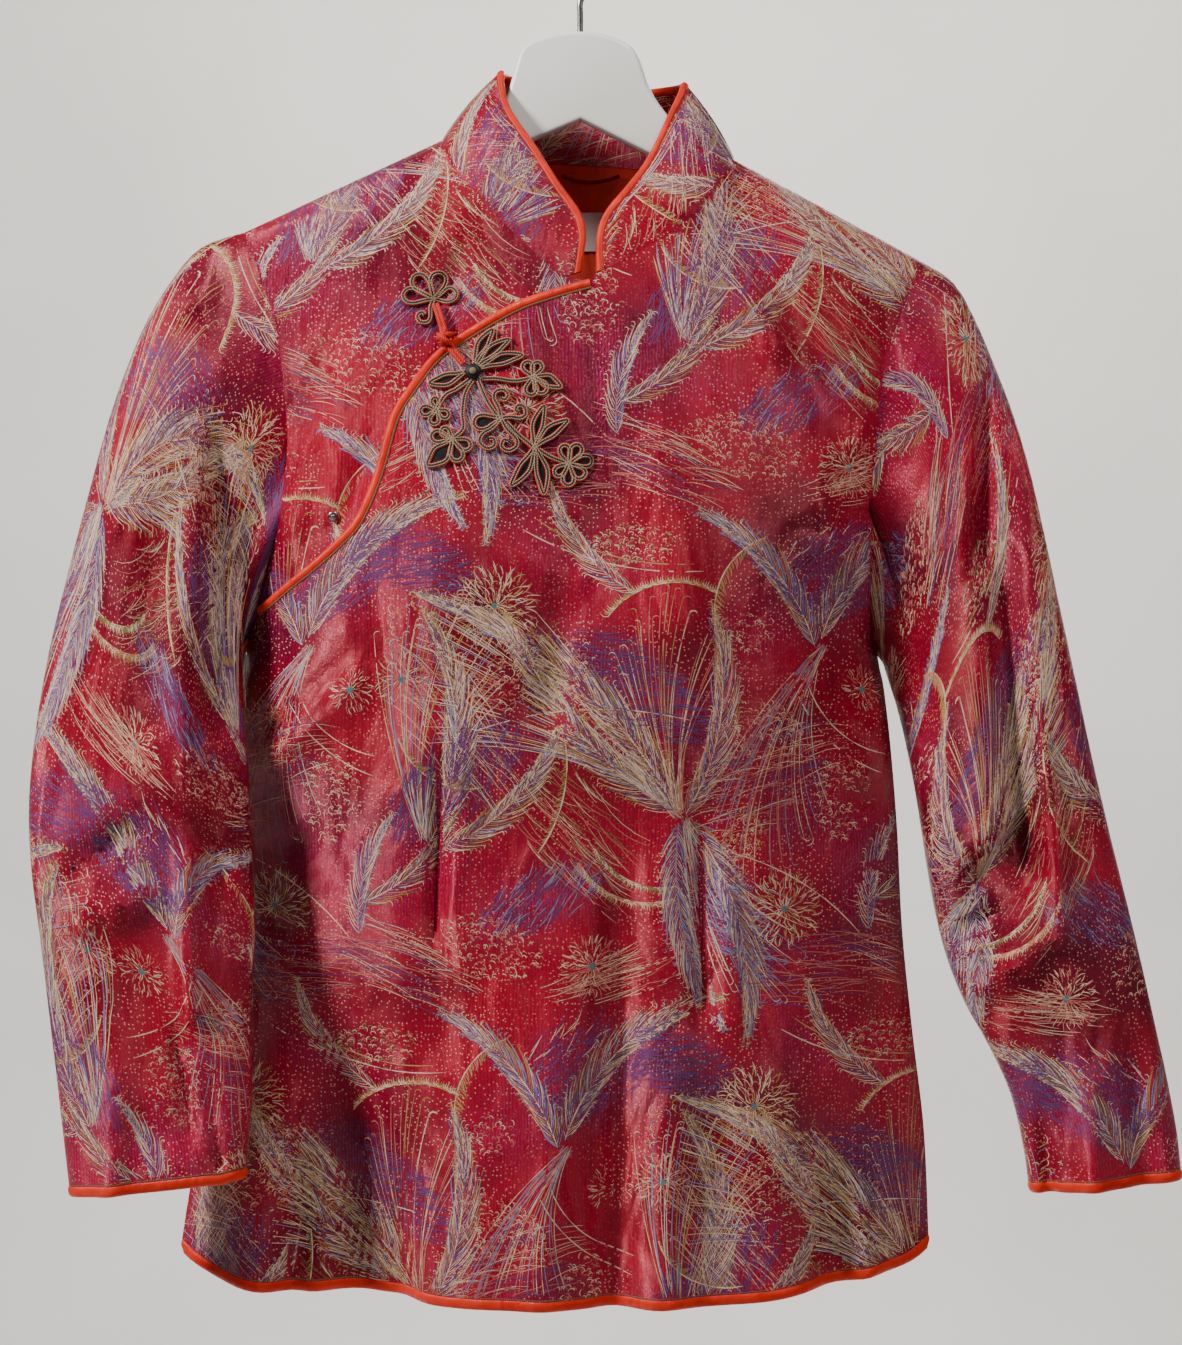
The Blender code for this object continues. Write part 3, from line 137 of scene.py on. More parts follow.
# Middle line of the overlap's binding: side part from the armhole up, and chest part to the neck (x, z)
OVERLAP_SIDE = (
    (-191.4, -409.4), (-174.3, -396.7), (-156.1, -383.6), (-140.2, -370.4), (-128.1, -357.2),
    (-116.8, -331.2), (-107.5, -298.6), (-97.5, -281.8), (-86.4, -266.8),
)
OVERLAP_CHEST = ((-86.4, -266.8), (-74.7, -256.4), (-39.3, -234.9), (-14.3, -225.5), (6.6, -219.6))
OVERLAP_CHEST_CELLS = 5
OVERLAP_LIFT = 4.0
LIFT_FULL = 52.0
LIFT_END = 105.0

# Hidden lower edge of the front that lies beneath, from the armhole to the neck (x, z)
UNDER_CORNER = (-190.6, -408.0)
UNDER_EDGE = (
    (-150.0, -400.0), (-110.0, -392.0), (-86.0, -355.0), (-70.0, -310.0), (-32.0, -275.0),
    (2.0, -250.0),
)

# Collar's upper edge from the front round the back to the front (x, y, z)
COLLAR_EDGE_LEFT = (
    (2.6, -53.0, -212.5), (4.4, -52.5, -198.0), (4.9, -50.0, -188.4), (1.4, -46.0, -175.5),
    (-10.4, -38.0, -157.8), (-25.3, -27.0, -132.9), (-41.0, -14.0, -107.2), (-46.0, 0.0, -83.5),
)
COLLAR_EDGE_BACK = (
    (-46.0, 0.0, -83.5), (-42.0, 20.0, -83.0), (-20.0, 36.0, -85.0), (6.0, 40.0, -88.0),
    (34.0, 36.0, -89.0), (58.0, 20.0, -89.0), (63.0, 0.0, -90.5),
)
COLLAR_EDGE_RIGHT = (
    (63.0, 0.0, -90.5), (54.8, -14.0, -108.4), (39.6, -30.0, -141.7), (27.7, -40.0, -159.3),
    (15.0, -47.0, -175.7), (9.6, -51.0, -190.9), (9.0, -53.0, -214.0),
)
COLLAR_ROWS = 4
COLLAR_BULGE = 2.0
COLLAR_HEIGHT = 40.0
COLLAR_LEAST = 1.5
COLLAR_SHIFT = (20.0, -110.0)

# Large folds: foot (x, z), head (x, z), half width, depth (plus sinks, minus swells)
FRONT_FOLDS = (
    (-124.0, -830.0, -150.0, -610.0, 26.0, 30.0),
    (-197.0, -830.0, -192.0, -660.0, 18.0, -10.0),
    (-52.0, -830.0, -60.0, -640.0, 26.0, -4.0),
    (118.0, -830.0, 104.0, -640.0, 24.0, -5.0),
    (70.0, -640.0, 84.0, -480.0, 16.0, 5.0),
    (-74.0, -660.0, -78.0, -480.0, 15.0, 5.0),
)
BACK_FOLDS = (
    (-6.0, -840.0, 2.0, -480.0, 30.0, 10.0),
    (-140.0, -840.0, -120.0, -600.0, 26.0, -7.0),
    (120.0, -840.0, 108.0, -600.0, 26.0, -7.0),
    (66.0, -840.0, 60.0, -640.0, 22.0, 6.0),
)
LEFT_SLEEVE_FOLDS = (
    (-203.0, -470.0, -204.0, -270.0, 13.0, 9.0),
    (-236.0, -520.0, -232.0, -330.0, 18.0, -5.0),
    (-235.0, -700.0, -262.0, -560.0, 18.0, 6.0),
)
RIGHT_SLEEVE_FOLDS = (
    (258.0, -560.0, 242.0, -270.0, 13.0, 7.0),
    (214.0, -590.0, 262.0, -560.0, 13.0, 7.0),
    (290.0, -700.0, 268.0, -620.0, 16.0, 5.0),
)

# Sleeve sections: outer edge x, y, z, inner edge x, y, z, half depth
LEFT_SLEEVE = (
    (-200.4, 0.0, -181.8, -199.2, 0.0, -426.6, 24.0),
    (-227.0, -2.0, -191.7, -203.2, -1.5, -433.0, 25.0),
    (-245.7, -5.0, -214.4, -204.2, -6.0, -440.0, 26.0),
    (-261.8, -9.0, -244.8, -201.0, -14.0, -450.0, 27.0),
    (-277.5, -15.0, -290.1, -198.5, -22.0, -463.0, 28.0),
    (-289.5, -22.0, -338.0, -196.5, -30.0, -481.0, 27.0),
    (-301.1, -30.0, -388.6, -194.0, -38.0, -503.0, 26.0),
    (-310.5, -37.0, -432.9, -192.0, -44.0, -524.0, 25.0),
    (-317.0, -43.0, -476.8, -190.0, -49.0, -548.0, 24.0),
    (-320.3, -48.0, -520.5, -188.5, -54.0, -575.0, 23.0),
    (-318.1, -52.0, -561.3, -187.5, -57.0, -602.0, 22.0),
    (-311.9, -55.0, -604.8, -189.1, -59.0, -631.0, 21.0),
    (-306.1, -58.0, -648.5, -188.5, -61.0, -661.0, 20.0),
    (-300.9, -60.0, -689.2, -189.1, -62.0, -692.0, 19.5),
    (-296.8, -61.0, -724.2, -190.8, -63.0, -717.5, 19.0),
    (-293.9, -61.0, -749.5, -192.5, -63.0, -737.5, 19.0),
)
RIGHT_SLEEVE = (
    (207.6, 0.0, -200.4, 178.8, 0.0, -435.6, 23.0),
    (225.3, -1.0, -212.7, 182.4, -1.0, -441.0, 24.0),
    (238.0, -3.0, -236.4, 184.2, -2.0, -447.0, 25.0),
    (248.5, -5.0, -262.5, 186.5, -4.0, -455.0, 26.0),
    (258.5, -8.0, -290.4, 189.5, -6.0, -465.0, 27.0),
    (268.0, -11.0, -323.3, 193.0, -9.0, -479.0, 27.0),
    (276.8, -15.0, -365.2, 196.5, -12.0, -496.0, 26.0),
    (285.1, -19.0, -406.9, 200.0, -16.0, -516.0, 25.0),
    (293.9, -23.0, -450.8, 203.5, -20.0, -541.0, 24.0),
    (302.7, -27.0, -495.7, 207.0, -24.0, -567.0, 23.0),
    (311.7, -30.0, -536.3, 211.0, -27.0, -590.0, 22.0),
    (320.8, -32.0, -574.4, 217.0, -30.0, -614.0, 21.0),
    (329.8, -34.0, -613.1, 227.5, -32.0, -641.0, 20.0),
    (338.1, -35.0, -650.7, 240.5, -34.0, -664.0, 19.0),
    (345.7, -36.0, -686.0, 253.6, -35.0, -693.0, 18.5),
    (351.2, -36.0, -716.0, 261.2, -35.0, -724.0, 18.0),
    (354.1, -36.0, -744.0, 265.3, -35.0, -752.0, 18.0),
)
SLEEVE_BLEND_RINGS = 6
SLEEVE_SQUARENESS = 0.8

# Hanger: outline of the moulded body (x, z) and the wire hook
HANGER_THICK = 9.0
HANGER_EDGE = 3.2
HANGER_DROP = 3.9
HANGER_TIP_DEPTH = 15.0
HANGER_TIP_ROUND = 0.7
HANGER_TIP_LEFT = -172.0
HANGER_TIP_RIGHT = 180.0
HANGER_REST_LEFT = -112.0
HANGER_REST_RIGHT = 124.0
HANGER_HEAD = (
    (-82.0, -135.5), (-64.0, -125.0), (-47.0, -108.6), (-40.2, -90.0), (-35.5, -75.0),
    (-29.0, -68.0), (-15.0, -63.4), (0.0, -61.8), (15.0, -63.6), (28.0, -68.6), (35.5, -76.5),
    (42.6, -96.0), (53.0, -111.5), (72.0, -131.0), (93.0, -148.0),
)
HANGER_NOTCH = (0.8, -115.0)
HOOK_WIRE = 3.6
HOOK_RADIUS = 19.0
HOOK_FOOT = -60.9
HOOK_BEND = -44.0
HOOK_X = 0.8
HOOK_ARC_STEPS = 21
HOOK_ARC_START = -58
HOOK_ARC_STEP = 13.0

# Inside of the back neck: lining, blank label and hanging loop
LINING_LEFT = -44.0
LINING_RIGHT = 54.0
LINING_TOP_GAP = 6.0
LINING_DROP = 84.0
LINING_THICK = 1.0
LINING_GAP = 0.7

# Crease down the lining: depth, place (x), half width
LINING_CREASE = (0.9, 8.0, 1.6)

# Blank label and hanging loop
LABEL_CENTRE = (7.0, -176.0)
LABEL_SIZE = (42.0, 24.0)
LABEL_THICK = 0.6
LABEL_GAP = 0.5
HANG_LOOP_LEFT = -11.0
HANG_LOOP_RIGHT = 25.0
HANG_LOOP_Z = -141.5
HANG_LOOP_SAG = 4.0
HANG_LOOP_WIDTH = 2.4

THREAD_COLOURS = (
    (0.72, 0.55, 0.38), (0.46, 0.28, 0.09), (0.21, 0.19, 0.07), (0.58, 0.19, 0.15),
    (0.120, 0.026, 0.150), (0.050, 0.055, 0.190), (0.20, 0.23, 0.38), (0.02, 0.19, 0.22),
)
CREAM, GOLD, OLIVE, PINK, LAVENDER, SLATE, PALE_BLUE, TEAL = range(8)
FINISHES = {}

# Creases and narrow troughs of the hanging cloth: foot (x, z), head (x, z), half width, depth
FRONT_CREASES = (
    (-84.0, -600.0, -77.0, -430.0, 3.4, 2.9),
    (-70.0, -620.0, -66.0, -450.0, 9.0, -2.6),
    (73.0, -640.0, 67.0, -500.0, 3.4, 2.6),
    (88.0, -650.0, 84.0, -510.0, 9.0, -2.9),
    (-187.0, -486.0, -101.0, -415.0, 3.6, 2.6),
    (-184.0, -500.0, -110.0, -436.0, 8.0, -3.2),
    (182.0, -486.0, 113.0, -423.0, 3.6, 2.7),
    (178.0, -500.0, 118.0, -440.0, 8.0, -3.2),
    (173.0, -350.0, 113.0, -372.0, 4.0, 2.9),
    (20.0, -830.0, 28.0, -470.0, 13.0, 6.4),
    (48.0, -830.0, 60.0, -560.0, 16.0, -4.8),
    (-22.0, -830.0, -10.0, -560.0, 15.0, -4.2),
    (-172.0, -830.0, -158.0, -700.0, 10.0, 6.4),
    (-104.0, -830.0, -96.0, -690.0, 10.0, 6.4),
    (150.0, -830.0, 142.0, -690.0, 12.0, 4.8),
    (172.0, -830.0, 168.0, -700.0, 9.0, -3.8),
    (188.0, -536.0, 146.0, -512.0, 5.0, 3.5),
    (189.0, -560.0, 138.0, -572.0, 6.0, 3.2),
    (188.0, -522.0, 150.0, -490.0, 6.0, -3.2),
    (-196.0, -560.0, -140.0, -540.0, 7.0, 2.9),
    (-198.0, -596.0, -150.0, -600.0, 8.0, 2.9),
    (-20.0, -470.0, 8.0, -330.0, 12.0, 3.5),
    (8.0, -330.0, 12.0, -222.0, 4.0, 1.6),
    (60.0, -420.0, 40.0, -250.0, 16.0, -3.8),
    (150.0, -300.0, 96.0, -190.0, 12.0, 3.8),
    (166.0, -420.0, 130.0, -300.0, 10.0, -3.2),
    (118.0, -256.0, 84.0, -196.0, 9.0, -3.2),
)
UNDER_CREASES = (
    (-176.0, -330.0, -120.0, -200.0, 10.0, 3.8),
    (-150.0, -380.0, -108.0, -290.0, 8.0, 3.2),
    (-168.0, -360.0, -150.0, -250.0, 8.0, -2.9),
    (-80.0, -230.0, -62.0, -184.0, 7.0, 2.2),
)
BACK_CREASES = (
    (-80.0, -640.0, -76.0, -440.0, 3.4, 3.1),
    (78.0, -640.0, 74.0, -440.0, 3.4, 3.1),
    (1.0, -830.0, 2.0, -170.0, 3.0, 1.7),
    (-170.0, -830.0, -150.0, -640.0, 12.0, 6.8),
    (160.0, -830.0, 146.0, -650.0, 12.0, 6.8),
    (-186.0, -520.0, -120.0, -480.0, 8.0, 4.1),
    (180.0, -520.0, 118.0, -476.0, 8.0, 4.1),
    (-60.0, -230.0, -130.0, -190.0, 9.0, 3.1),
    (70.0, -236.0, 140.0, -206.0, 9.0, 3.1),
    (-160.0, -400.0, -110.0, -270.0, 12.0, 4.1),
    (156.0, -410.0, 110.0, -276.0, 12.0, 4.1),
)
LEFT_SLEEVE_CREASES = (
    (-216.0, -480.0, -212.0, -260.0, 5.0, 6.5),
    (-222.0, -640.0, -226.0, -430.0, 8.0, -4.9),
    (-248.0, -470.0, -240.0, -300.0, 12.0, 4.2),
    (-290.0, -560.0, -236.0, -520.0, 8.0, 4.9),
    (-286.0, -590.0, -230.0, -566.0, 7.0, -4.2),
    (-204.0, -560.0, -256.0, -500.0, 7.0, 4.6),
    (-222.0, -712.0, -236.0, -620.0, 6.0, 4.9),
    (-206.0, -728.0, -216.0, -660.0, 4.0, 3.8),
    (-268.0, -740.0, -262.0, -640.0, 9.0, -3.8),
    (-230.0, -230.0, -214.0, -196.0, 7.0, -3.0),
)
RIGHT_SLEEVE_CREASES = (
    (236.0, -380.0, 244.0, -240.0, 5.0, 5.7),
    (262.0, -560.0, 246.0, -330.0, 8.0, 5.7),
    (280.0, -600.0, 262.0, -400.0, 8.0, -4.6),
    (222.0, -600.0, 270.0, -570.0, 6.0, 6.1),
    (236.0, -630.0, 286.0, -590.0, 7.0, -4.6),
    (232.0, -566.0, 284.0, -520.0, 7.0, 4.2),
    (276.0, -752.0, 268.0, -690.0, 5.0, 5.7),
    (300.0, -750.0, 290.0, -640.0, 9.0, -4.2),
    (330.0, -740.0, 316.0, -610.0, 9.0, 3.8),
    (232.0, -236.0, 222.0, -212.0, 7.0, -3.0),
)
SLEEVE_BACK_DEPTH = 0.7
CREASE_GAIN = 1.75
SEAM_TUCK = 0.4


def smooth(value):
    value = np.clip(value, 0.0, 1.0)
    return value * value * (3.0 - 2.0 * value)


def unit(vectors):
    return vectors / np.maximum(np.linalg.norm(vectors, axis=-1, keepdims=True), 1e-9)


def read_table(rows, column, at):
    """Values of a column at places in the first column, on a smooth curve."""
    keys = np.array([row[0] for row in rows])
    values = np.array([row[column] for row in rows])
    if keys[0] > keys[-1]:
        keys, values = keys[::-1], values[::-1]
    at = np.clip(at, keys[0], keys[-1])
    cell = np.clip(np.searchsorted(keys, at, side="right") - 1, 0, len(keys) - 2)
    before = np.maximum(cell - 1, 0)
    after = np.minimum(cell + 2, len(keys) - 1)
    width = keys[cell + 1] - keys[cell]
    share = (at - keys[cell]) / width
    low, high = values[cell], values[cell + 1]
    slope_low = (high - values[before]) / (keys[cell + 1] - keys[before]) * width
    slope_high = (values[after] - low) / (keys[after] - keys[cell]) * width
    return (
        (2 * share**3 - 3 * share**2 + 1) * low
        + (share**3 - 2 * share**2 + share) * slope_low
        + (3 * share**2 - 2 * share**3) * high
        + (share**3 - share**2) * slope_high
    )


def dense_curve(points, fine=12):
    """Catmull-Rom curve through points of any dimension."""
    points = np.array(points, float)
    last = len(points) - 1
    index = np.repeat(np.arange(last), fine)
    share = np.tile(np.arange(fine) / fine, last)[:, None]
    before, start = points[np.maximum(index - 1, 0)], points[index]
    end, after = points[index + 1], points[np.minimum(index + 2, last)]
    dense = 0.5 * (
        2 * start + (end - before) * share + (2 * before - 5 * start + 4 * end - after) * share**2
        + (3 * start - before - 3 * end + after) * share**3
    )
    return np.vstack([dense, points[-1:]])


def run_lengths(points):
    steps = np.linalg.norm(np.diff(points, axis=0), axis=1)
    return np.concatenate([[0.0], np.cumsum(steps)])


def sample(points, cells, grade=1.0):
    """Points along a smooth curve; a grade over 1 crowds them towards its start."""
    dense = dense_curve(points)
    lengths = run_lengths(dense)
    wanted = lengths[-1] * (np.arange(cells + 1) / cells) ** grade
    return np.stack([np.interp(wanted, lengths, dense[:, axis]) for axis in range(dense.shape[1])], axis=1)


def shift_path(points, distance):
    """Path in x, z moved to its right-hand side as seen from the front."""
    along = unit(np.vstack([points[1:2] - points[:1], points[2:] - points[:-2], points[-1:] - points[-2:-1]]))
    return points + np.stack([along[:, 1], -along[:, 0]], axis=1) * distance


def ridge(x):
    """Height of the shoulder line, with a rise where the neck opens."""
    left = NECK_LEFT[1] + (x - NECK_LEFT[0]) * (NECK_LEFT[1] - TIP_LEFT[1]) / (NECK_LEFT[0] - TIP_LEFT[0])
    fall = (TIP_RIGHT[1] - NECK_RIGHT[1]) / (TIP_RIGHT[0] - NECK_RIGHT[0])
    right = NECK_RIGHT[1] + (x - NECK_RIGHT[0]) * fall
    share = (x - NECK_LEFT[0]) / (NECK_RIGHT[0] - NECK_LEFT[0])
    middle = NECK_LEFT[1] + (NECK_RIGHT[1] - NECK_LEFT[1]) * share + NECK_RISE * 4.0 * share * (1.0 - share)
    return np.where(x < NECK_LEFT[0], left, np.where(x > NECK_RIGHT[0], right, middle))


def section_share(x, z):
    """Share of the full depth at a place: 0 on the side and shoulder seams."""
    left, right = read_table(BODY, 1, z), read_table(BODY, 2, z)
    across = np.clip(np.abs(2.0 * (x - left) / (right - left) - 1.0), 0.0, 1.0)
    drop = np.clip((ridge(x) - z) / SHOULDER_ROLL, 0.0, 1.0)
    return (1.0 - across**SIDE_ROUND) * np.sqrt(1.0 - (1.0 - drop) ** 2)


def fold_depth(folds, x, z):
    total = np.zeros(np.shape(x))
    for foot_x, foot_z, head_x, head_z, half_width, depth in folds:
        run_x, run_z = head_x - foot_x, head_z - foot_z
        along = ((x - foot_x) * run_x + (z - foot_z) * run_z) / (run_x**2 + run_z**2)
        near = np.clip(along, 0.0, 1.0)
        away = np.hypot(x - foot_x - run_x * near, z - foot_z - run_z * near)
        fade = smooth((1.0 - along) / FOLD_HEAD_FADE) * smooth((along + FOLD_FOOT_FADE) / FOLD_FOOT_FADE)
        total = total + depth * fade * np.exp(-((away / half_width) ** 2))
    return total


def body_depth(x, z, column, folds, creases, settle):
    base = read_table(BODY, column, z) * section_share(x, z)
    return base - (fold_depth(folds, x, z) + CREASE_GAIN * fold_depth(creases, x, z)) * smooth(base / settle)


def front_y(x, z):
    return -body_depth(x, z, 3, FRONT_FOLDS, UNDER_CREASES, FRONT_SETTLE)


def upper_front_y(x, z):
    apart = np.full(np.shape(x), 1e9)
    for place in OVERLAP_DENSE:
        apart = np.minimum(apart, np.hypot(x - place[0], z - place[1]))
    base = read_table(BODY, 3, z) * section_share(x, z)
    lift = OVERLAP_LIFT * smooth((LIFT_END - apart) / (LIFT_END - LIFT_FULL)) * smooth(base / LIFT_SETTLE)
    return -body_depth(x, z, 3, FRONT_FOLDS, FRONT_CREASES, FRONT_SETTLE) - lift


def back_y(x, z):
    return body_depth(x, z, 4, BACK_FOLDS, BACK_CREASES, BACK_SETTLE)


OVERLAP_DENSE = dense_curve(OVERLAP_SIDE + OVERLAP_CHEST[1:], 5)


def skin(surface, x, z):
    """Points and outward directions of a surface y = surface(x, z)."""
    x, z = np.asarray(x, float), np.asarray(z, float)
    y = surface(x, z)
    side = 1.0 if surface is back_y else -1.0
    slope_x = (surface(x + 1.0, z) - surface(x - 1.0, z)) / 2.0
    slope_z = y - surface(x, z - 1.0)
    normal = np.stack([-slope_x * side, np.full(y.shape, side), -slope_z * side], axis=-1)
    return np.stack([x, y, z], axis=-1), unit(normal)


def seam_skin(surface, x, z):
    """As skin on a seam at y = 0, with the wall mitred in the seam's plane."""
    middle = (read_table(BODY, 1, z) + read_table(BODY, 2, z)) / 2
    normal = skin(surface, x + np.where(x < middle, SEAM_INSET, -SEAM_INSET), z - SEAM_INSET)[1]
    flat = unit(normal * (1.0, 0.0, 1.0))
    for armpit, outward in ((ARMPIT_LEFT, -1.0), (ARMPIT_RIGHT, 1.0)):
        at_pit = np.hypot(x - armpit[0], z - armpit[1]) < ARMPIT_NEAR
        flat[at_pit] = (outward * ARMPIT_MITRE[0], 0.0, -ARMPIT_MITRE[1])
    return np.stack([x, np.full(np.shape(x), 0.0), z], axis=-1), flat


def patch(bottom, top, left, right):
    """Grid of x, z points between four edge paths (rows run from bottom to top)."""
    u = np.linspace(0.0, 1.0, len(bottom))[None, :, None]
    v = np.linspace(0.0, 1.0, len(left))[:, None, None]
    ruled = bottom[None] * (1 - v) + top[None] * v + left[:, None] * (1 - u) + right[:, None] * u
    corners = (
        bottom[0] * (1 - u) * (1 - v) + bottom[-1] * u * (1 - v) + top[0] * (1 - u) * v + top[-1] * u * v
    )
    return ruled - corners


def walls(grid, surface, seam=None, thick=CLOTH, sink=0.0):
    """Outer and inner points of a cloth wall over a grid of x, z points."""
    point, normal = skin(surface, grid[..., 0], grid[..., 1])
    if seam is not None:
        point[seam], normal[seam] = seam_skin(surface, grid[..., 0][seam], grid[..., 1][seam])
    return point - normal * sink, point - normal * (sink + thick)


def side_line(column, foot_z, armpit):
    z = np.linspace(foot_z, armpit[1], SIDE_CELLS + 1)
    return np.stack([read_table(BODY, column, z), z], axis=1)


def armhole(points):
    return sample(points, ARMHOLE_CELLS, ARMHOLE_GRADE)


def hem_cells(cells):
    """Cut edge of the cloth along the hem, a binding's width above the hem line."""
    return sample(HEM, cells) + (0.0, HEM_BINDING)


def back_panel():
    cols = BACK_NECK_CELLS + 2 * BACK_SHOULDER_CELLS
    bottom = hem_cells(cols)
    left = np.vstack([side_line(1, bottom[0, 1], ARMPIT_LEFT), armhole(BACK_ARMHOLE_LEFT)[::-1][1:]])
    right = np.vstack([side_line(2, bottom[-1, 1], ARMPIT_RIGHT), armhole(BACK_ARMHOLE_RIGHT)[::-1][1:]])
    top = np.vstack([
        sample((TIP_LEFT, NECK_LEFT), BACK_SHOULDER_CELLS),
        sample(BACK_NECK, BACK_NECK_CELLS)[1:],
        sample((NECK_RIGHT, TIP_RIGHT), BACK_SHOULDER_CELLS)[1:],
    ])
    grid = patch(bottom, top, left, right)
    seam = np.zeros(grid.shape[:2], bool)
    seam[:SIDE_CELLS + 1, [0, -1]] = True
    seam[-1, :BACK_SHOULDER_CELLS + 1] = True
    seam[-1, BACK_SHOULDER_CELLS + BACK_NECK_CELLS:] = True
    return grid, walls(grid, back_y, seam)


def upper_front_panel():
    cols = OVERLAP_CHEST_CELLS * DENSITY + NECK_CELLS + SHOULDER_CELLS
    side_part = ARMHOLE_CELLS - DENSITY
    bottom = hem_cells(cols)
    chest_line = sample(OVERLAP_CHEST, OVERLAP_CHEST_CELLS * DENSITY)
    line = np.vstack([sample(OVERLAP_SIDE, side_part), chest_line[1:]])
    edge = shift_path(line, FRONT_BINDING / 2)
    side = side_line(1, bottom[0, 1], ARMPIT_LEFT)
    step = np.linspace(0.0, 1.0, DENSITY + 1)[1:-1, None]
    left = np.vstack([side, side[-1] * (1 - step) + edge[0] * step, edge[:side_part + 1]])
    right = np.vstack([side_line(2, bottom[-1, 1], ARMPIT_RIGHT), armhole(FRONT_ARMHOLE_RIGHT)[::-1][1:]])
    neck = sample(FRONT_NECK_RIGHT, NECK_CELLS)
    shoulder = sample((NECK_RIGHT, TIP_RIGHT), SHOULDER_CELLS)
    grid = patch(bottom, np.vstack([edge[side_part:], neck[1:], shoulder[1:]]), left, right)
    seam = np.zeros(grid.shape[:2], bool)
    seam[:SIDE_CELLS + 1, [0, -1]] = True
    seam[-1, OVERLAP_CHEST_CELLS * DENSITY + NECK_CELLS:] = True
    return grid, walls(grid, upper_front_y, seam)


def under_front_panel():
    left = armhole(FRONT_ARMHOLE_LEFT)[:ARMHOLE_CELLS - DENSITY + 1]
    left[-DENSITY - 1:] = np.linspace(left[-DENSITY - 1], UNDER_CORNER, DENSITY + 1)
    shoulder = sample((TIP_LEFT, NECK_LEFT), UNDER_SHOULDER_CELLS)
    top = np.vstack([shoulder[:-1], sample(FRONT_NECK_LEFT, NECK_CELLS)])
    bottom = sample((tuple(left[-1]),) + UNDER_EDGE, len(top) - 1)
    side_right = np.linspace(top[-1], bottom[-1], len(left))
    grid = patch(bottom, top, left[::-1], side_right[::-1])
    seam = np.zeros(grid.shape[:2], bool)
    seam[-1, :UNDER_SHOULDER_CELLS + 1] = True
    return grid, walls(grid, front_y, seam)


def left_front_edge():
    """Armhole edge of the left front from tip to armpit, outer and inner points."""
    line = armhole(FRONT_ARMHOLE_LEFT)
    seam = np.zeros(len(line), bool)
    seam[[0, -1]] = True
    return walls(line, front_y, seam)


def armhole_edge(layers, column):
    return [layer[SIDE_CELLS:, column][::-1] for layer in layers]


def sleeve_start(front_edge, back_edge, sideways):
    rings = []
    for front_line, back_line in zip(front_edge, back_edge):
        tip = (front_line[:1] + back_line[:1]) / 2
        pit = (front_line[-1:] + back_line[-1:]) / 2
        ring = np.vstack([tip, front_line[1:-1], pit, back_line[1:-1][::-1]])
        rings.append(ring - (sideways * SEAM_TUCK, 0.0, 0.0))
    return rings


def section_rings(sections):
    """Flattened tube sections between their outer and inner edges."""
    angle = math.pi * np.arange(2 * ARMHOLE_CELLS) / ARMHOLE_CELLS
    across = ((1 - np.cos(angle)) / 2)[None, :, None]
    bulge = np.sign(np.sin(angle)) * np.abs(np.sin(angle)) ** SLEEVE_SQUARENESS
    bulge[::ARMHOLE_CELLS] = 0.0
    rings = sections[:, None, 0:3] * (1 - across) + sections[:, None, 3:6] * across
    rings[..., 1] -= bulge[None] * sections[:, 6:7]
    return rings


def drawn_back(sections, length):
    """Sections with the last one drawn back along the sleeve by a length."""
    sections = np.array(sections, float)
    run = np.linalg.norm(sections[-1, :3] - sections[-2, :3])
    sections[-1] = sections[-2] + (sections[-1] - sections[-2]) * (1.0 - length / run)
    return sections


def outward_of(rings):
    """Outward directions of a closed tube of rings."""
    round_way = np.roll(rings, -1, axis=1) - np.roll(rings, 1, axis=1)
    down_way = np.gradient(rings, axis=0)
    normal = unit(np.cross(round_way, down_way))
    outside = (normal * (rings - rings.mean(axis=1, keepdims=True))).sum(axis=2).mean()
    return normal if outside > 0 else -normal


def sleeve_walls(start, sections, folds, creases):
    """Outer and inner rings of a sleeve from the armhole to the cuff's cut edge."""
    rows = dense_curve(drawn_back(sections, HEM_BINDING), DENSITY)
    outer = section_rings(rows)
    place = np.arange(len(rows))[:, None] / DENSITY
    weight = np.clip(1.0 - place / SLEEVE_BLEND_RINGS, 0.0, 1.0) ** 2
    outer = outer + (start[0] - outer[0])[None] * weight[:, :, None]
    across = np.sin(math.pi * np.arange(2 * ARMHOLE_CELLS) / ARMHOLE_CELLS)[None]
    inside = np.clip(across, 0.0, 1.0) * smooth(place / 2.0)
    behind = np.clip(-across, 0.0, 1.0) * smooth(place / 2.0) * SLEEVE_BACK_DEPTH
    x, z = outer[..., 0], outer[..., 2]
    crease = CREASE_GAIN * fold_depth(creases, x, z)
    outer[..., 1] += (fold_depth(folds, x, z) + crease) * inside - crease * behind
    outer[0] = start[0]
    inner = outer - outward_of(outer) * CLOTH
    inner[0] = start[1]
    return outer, inner


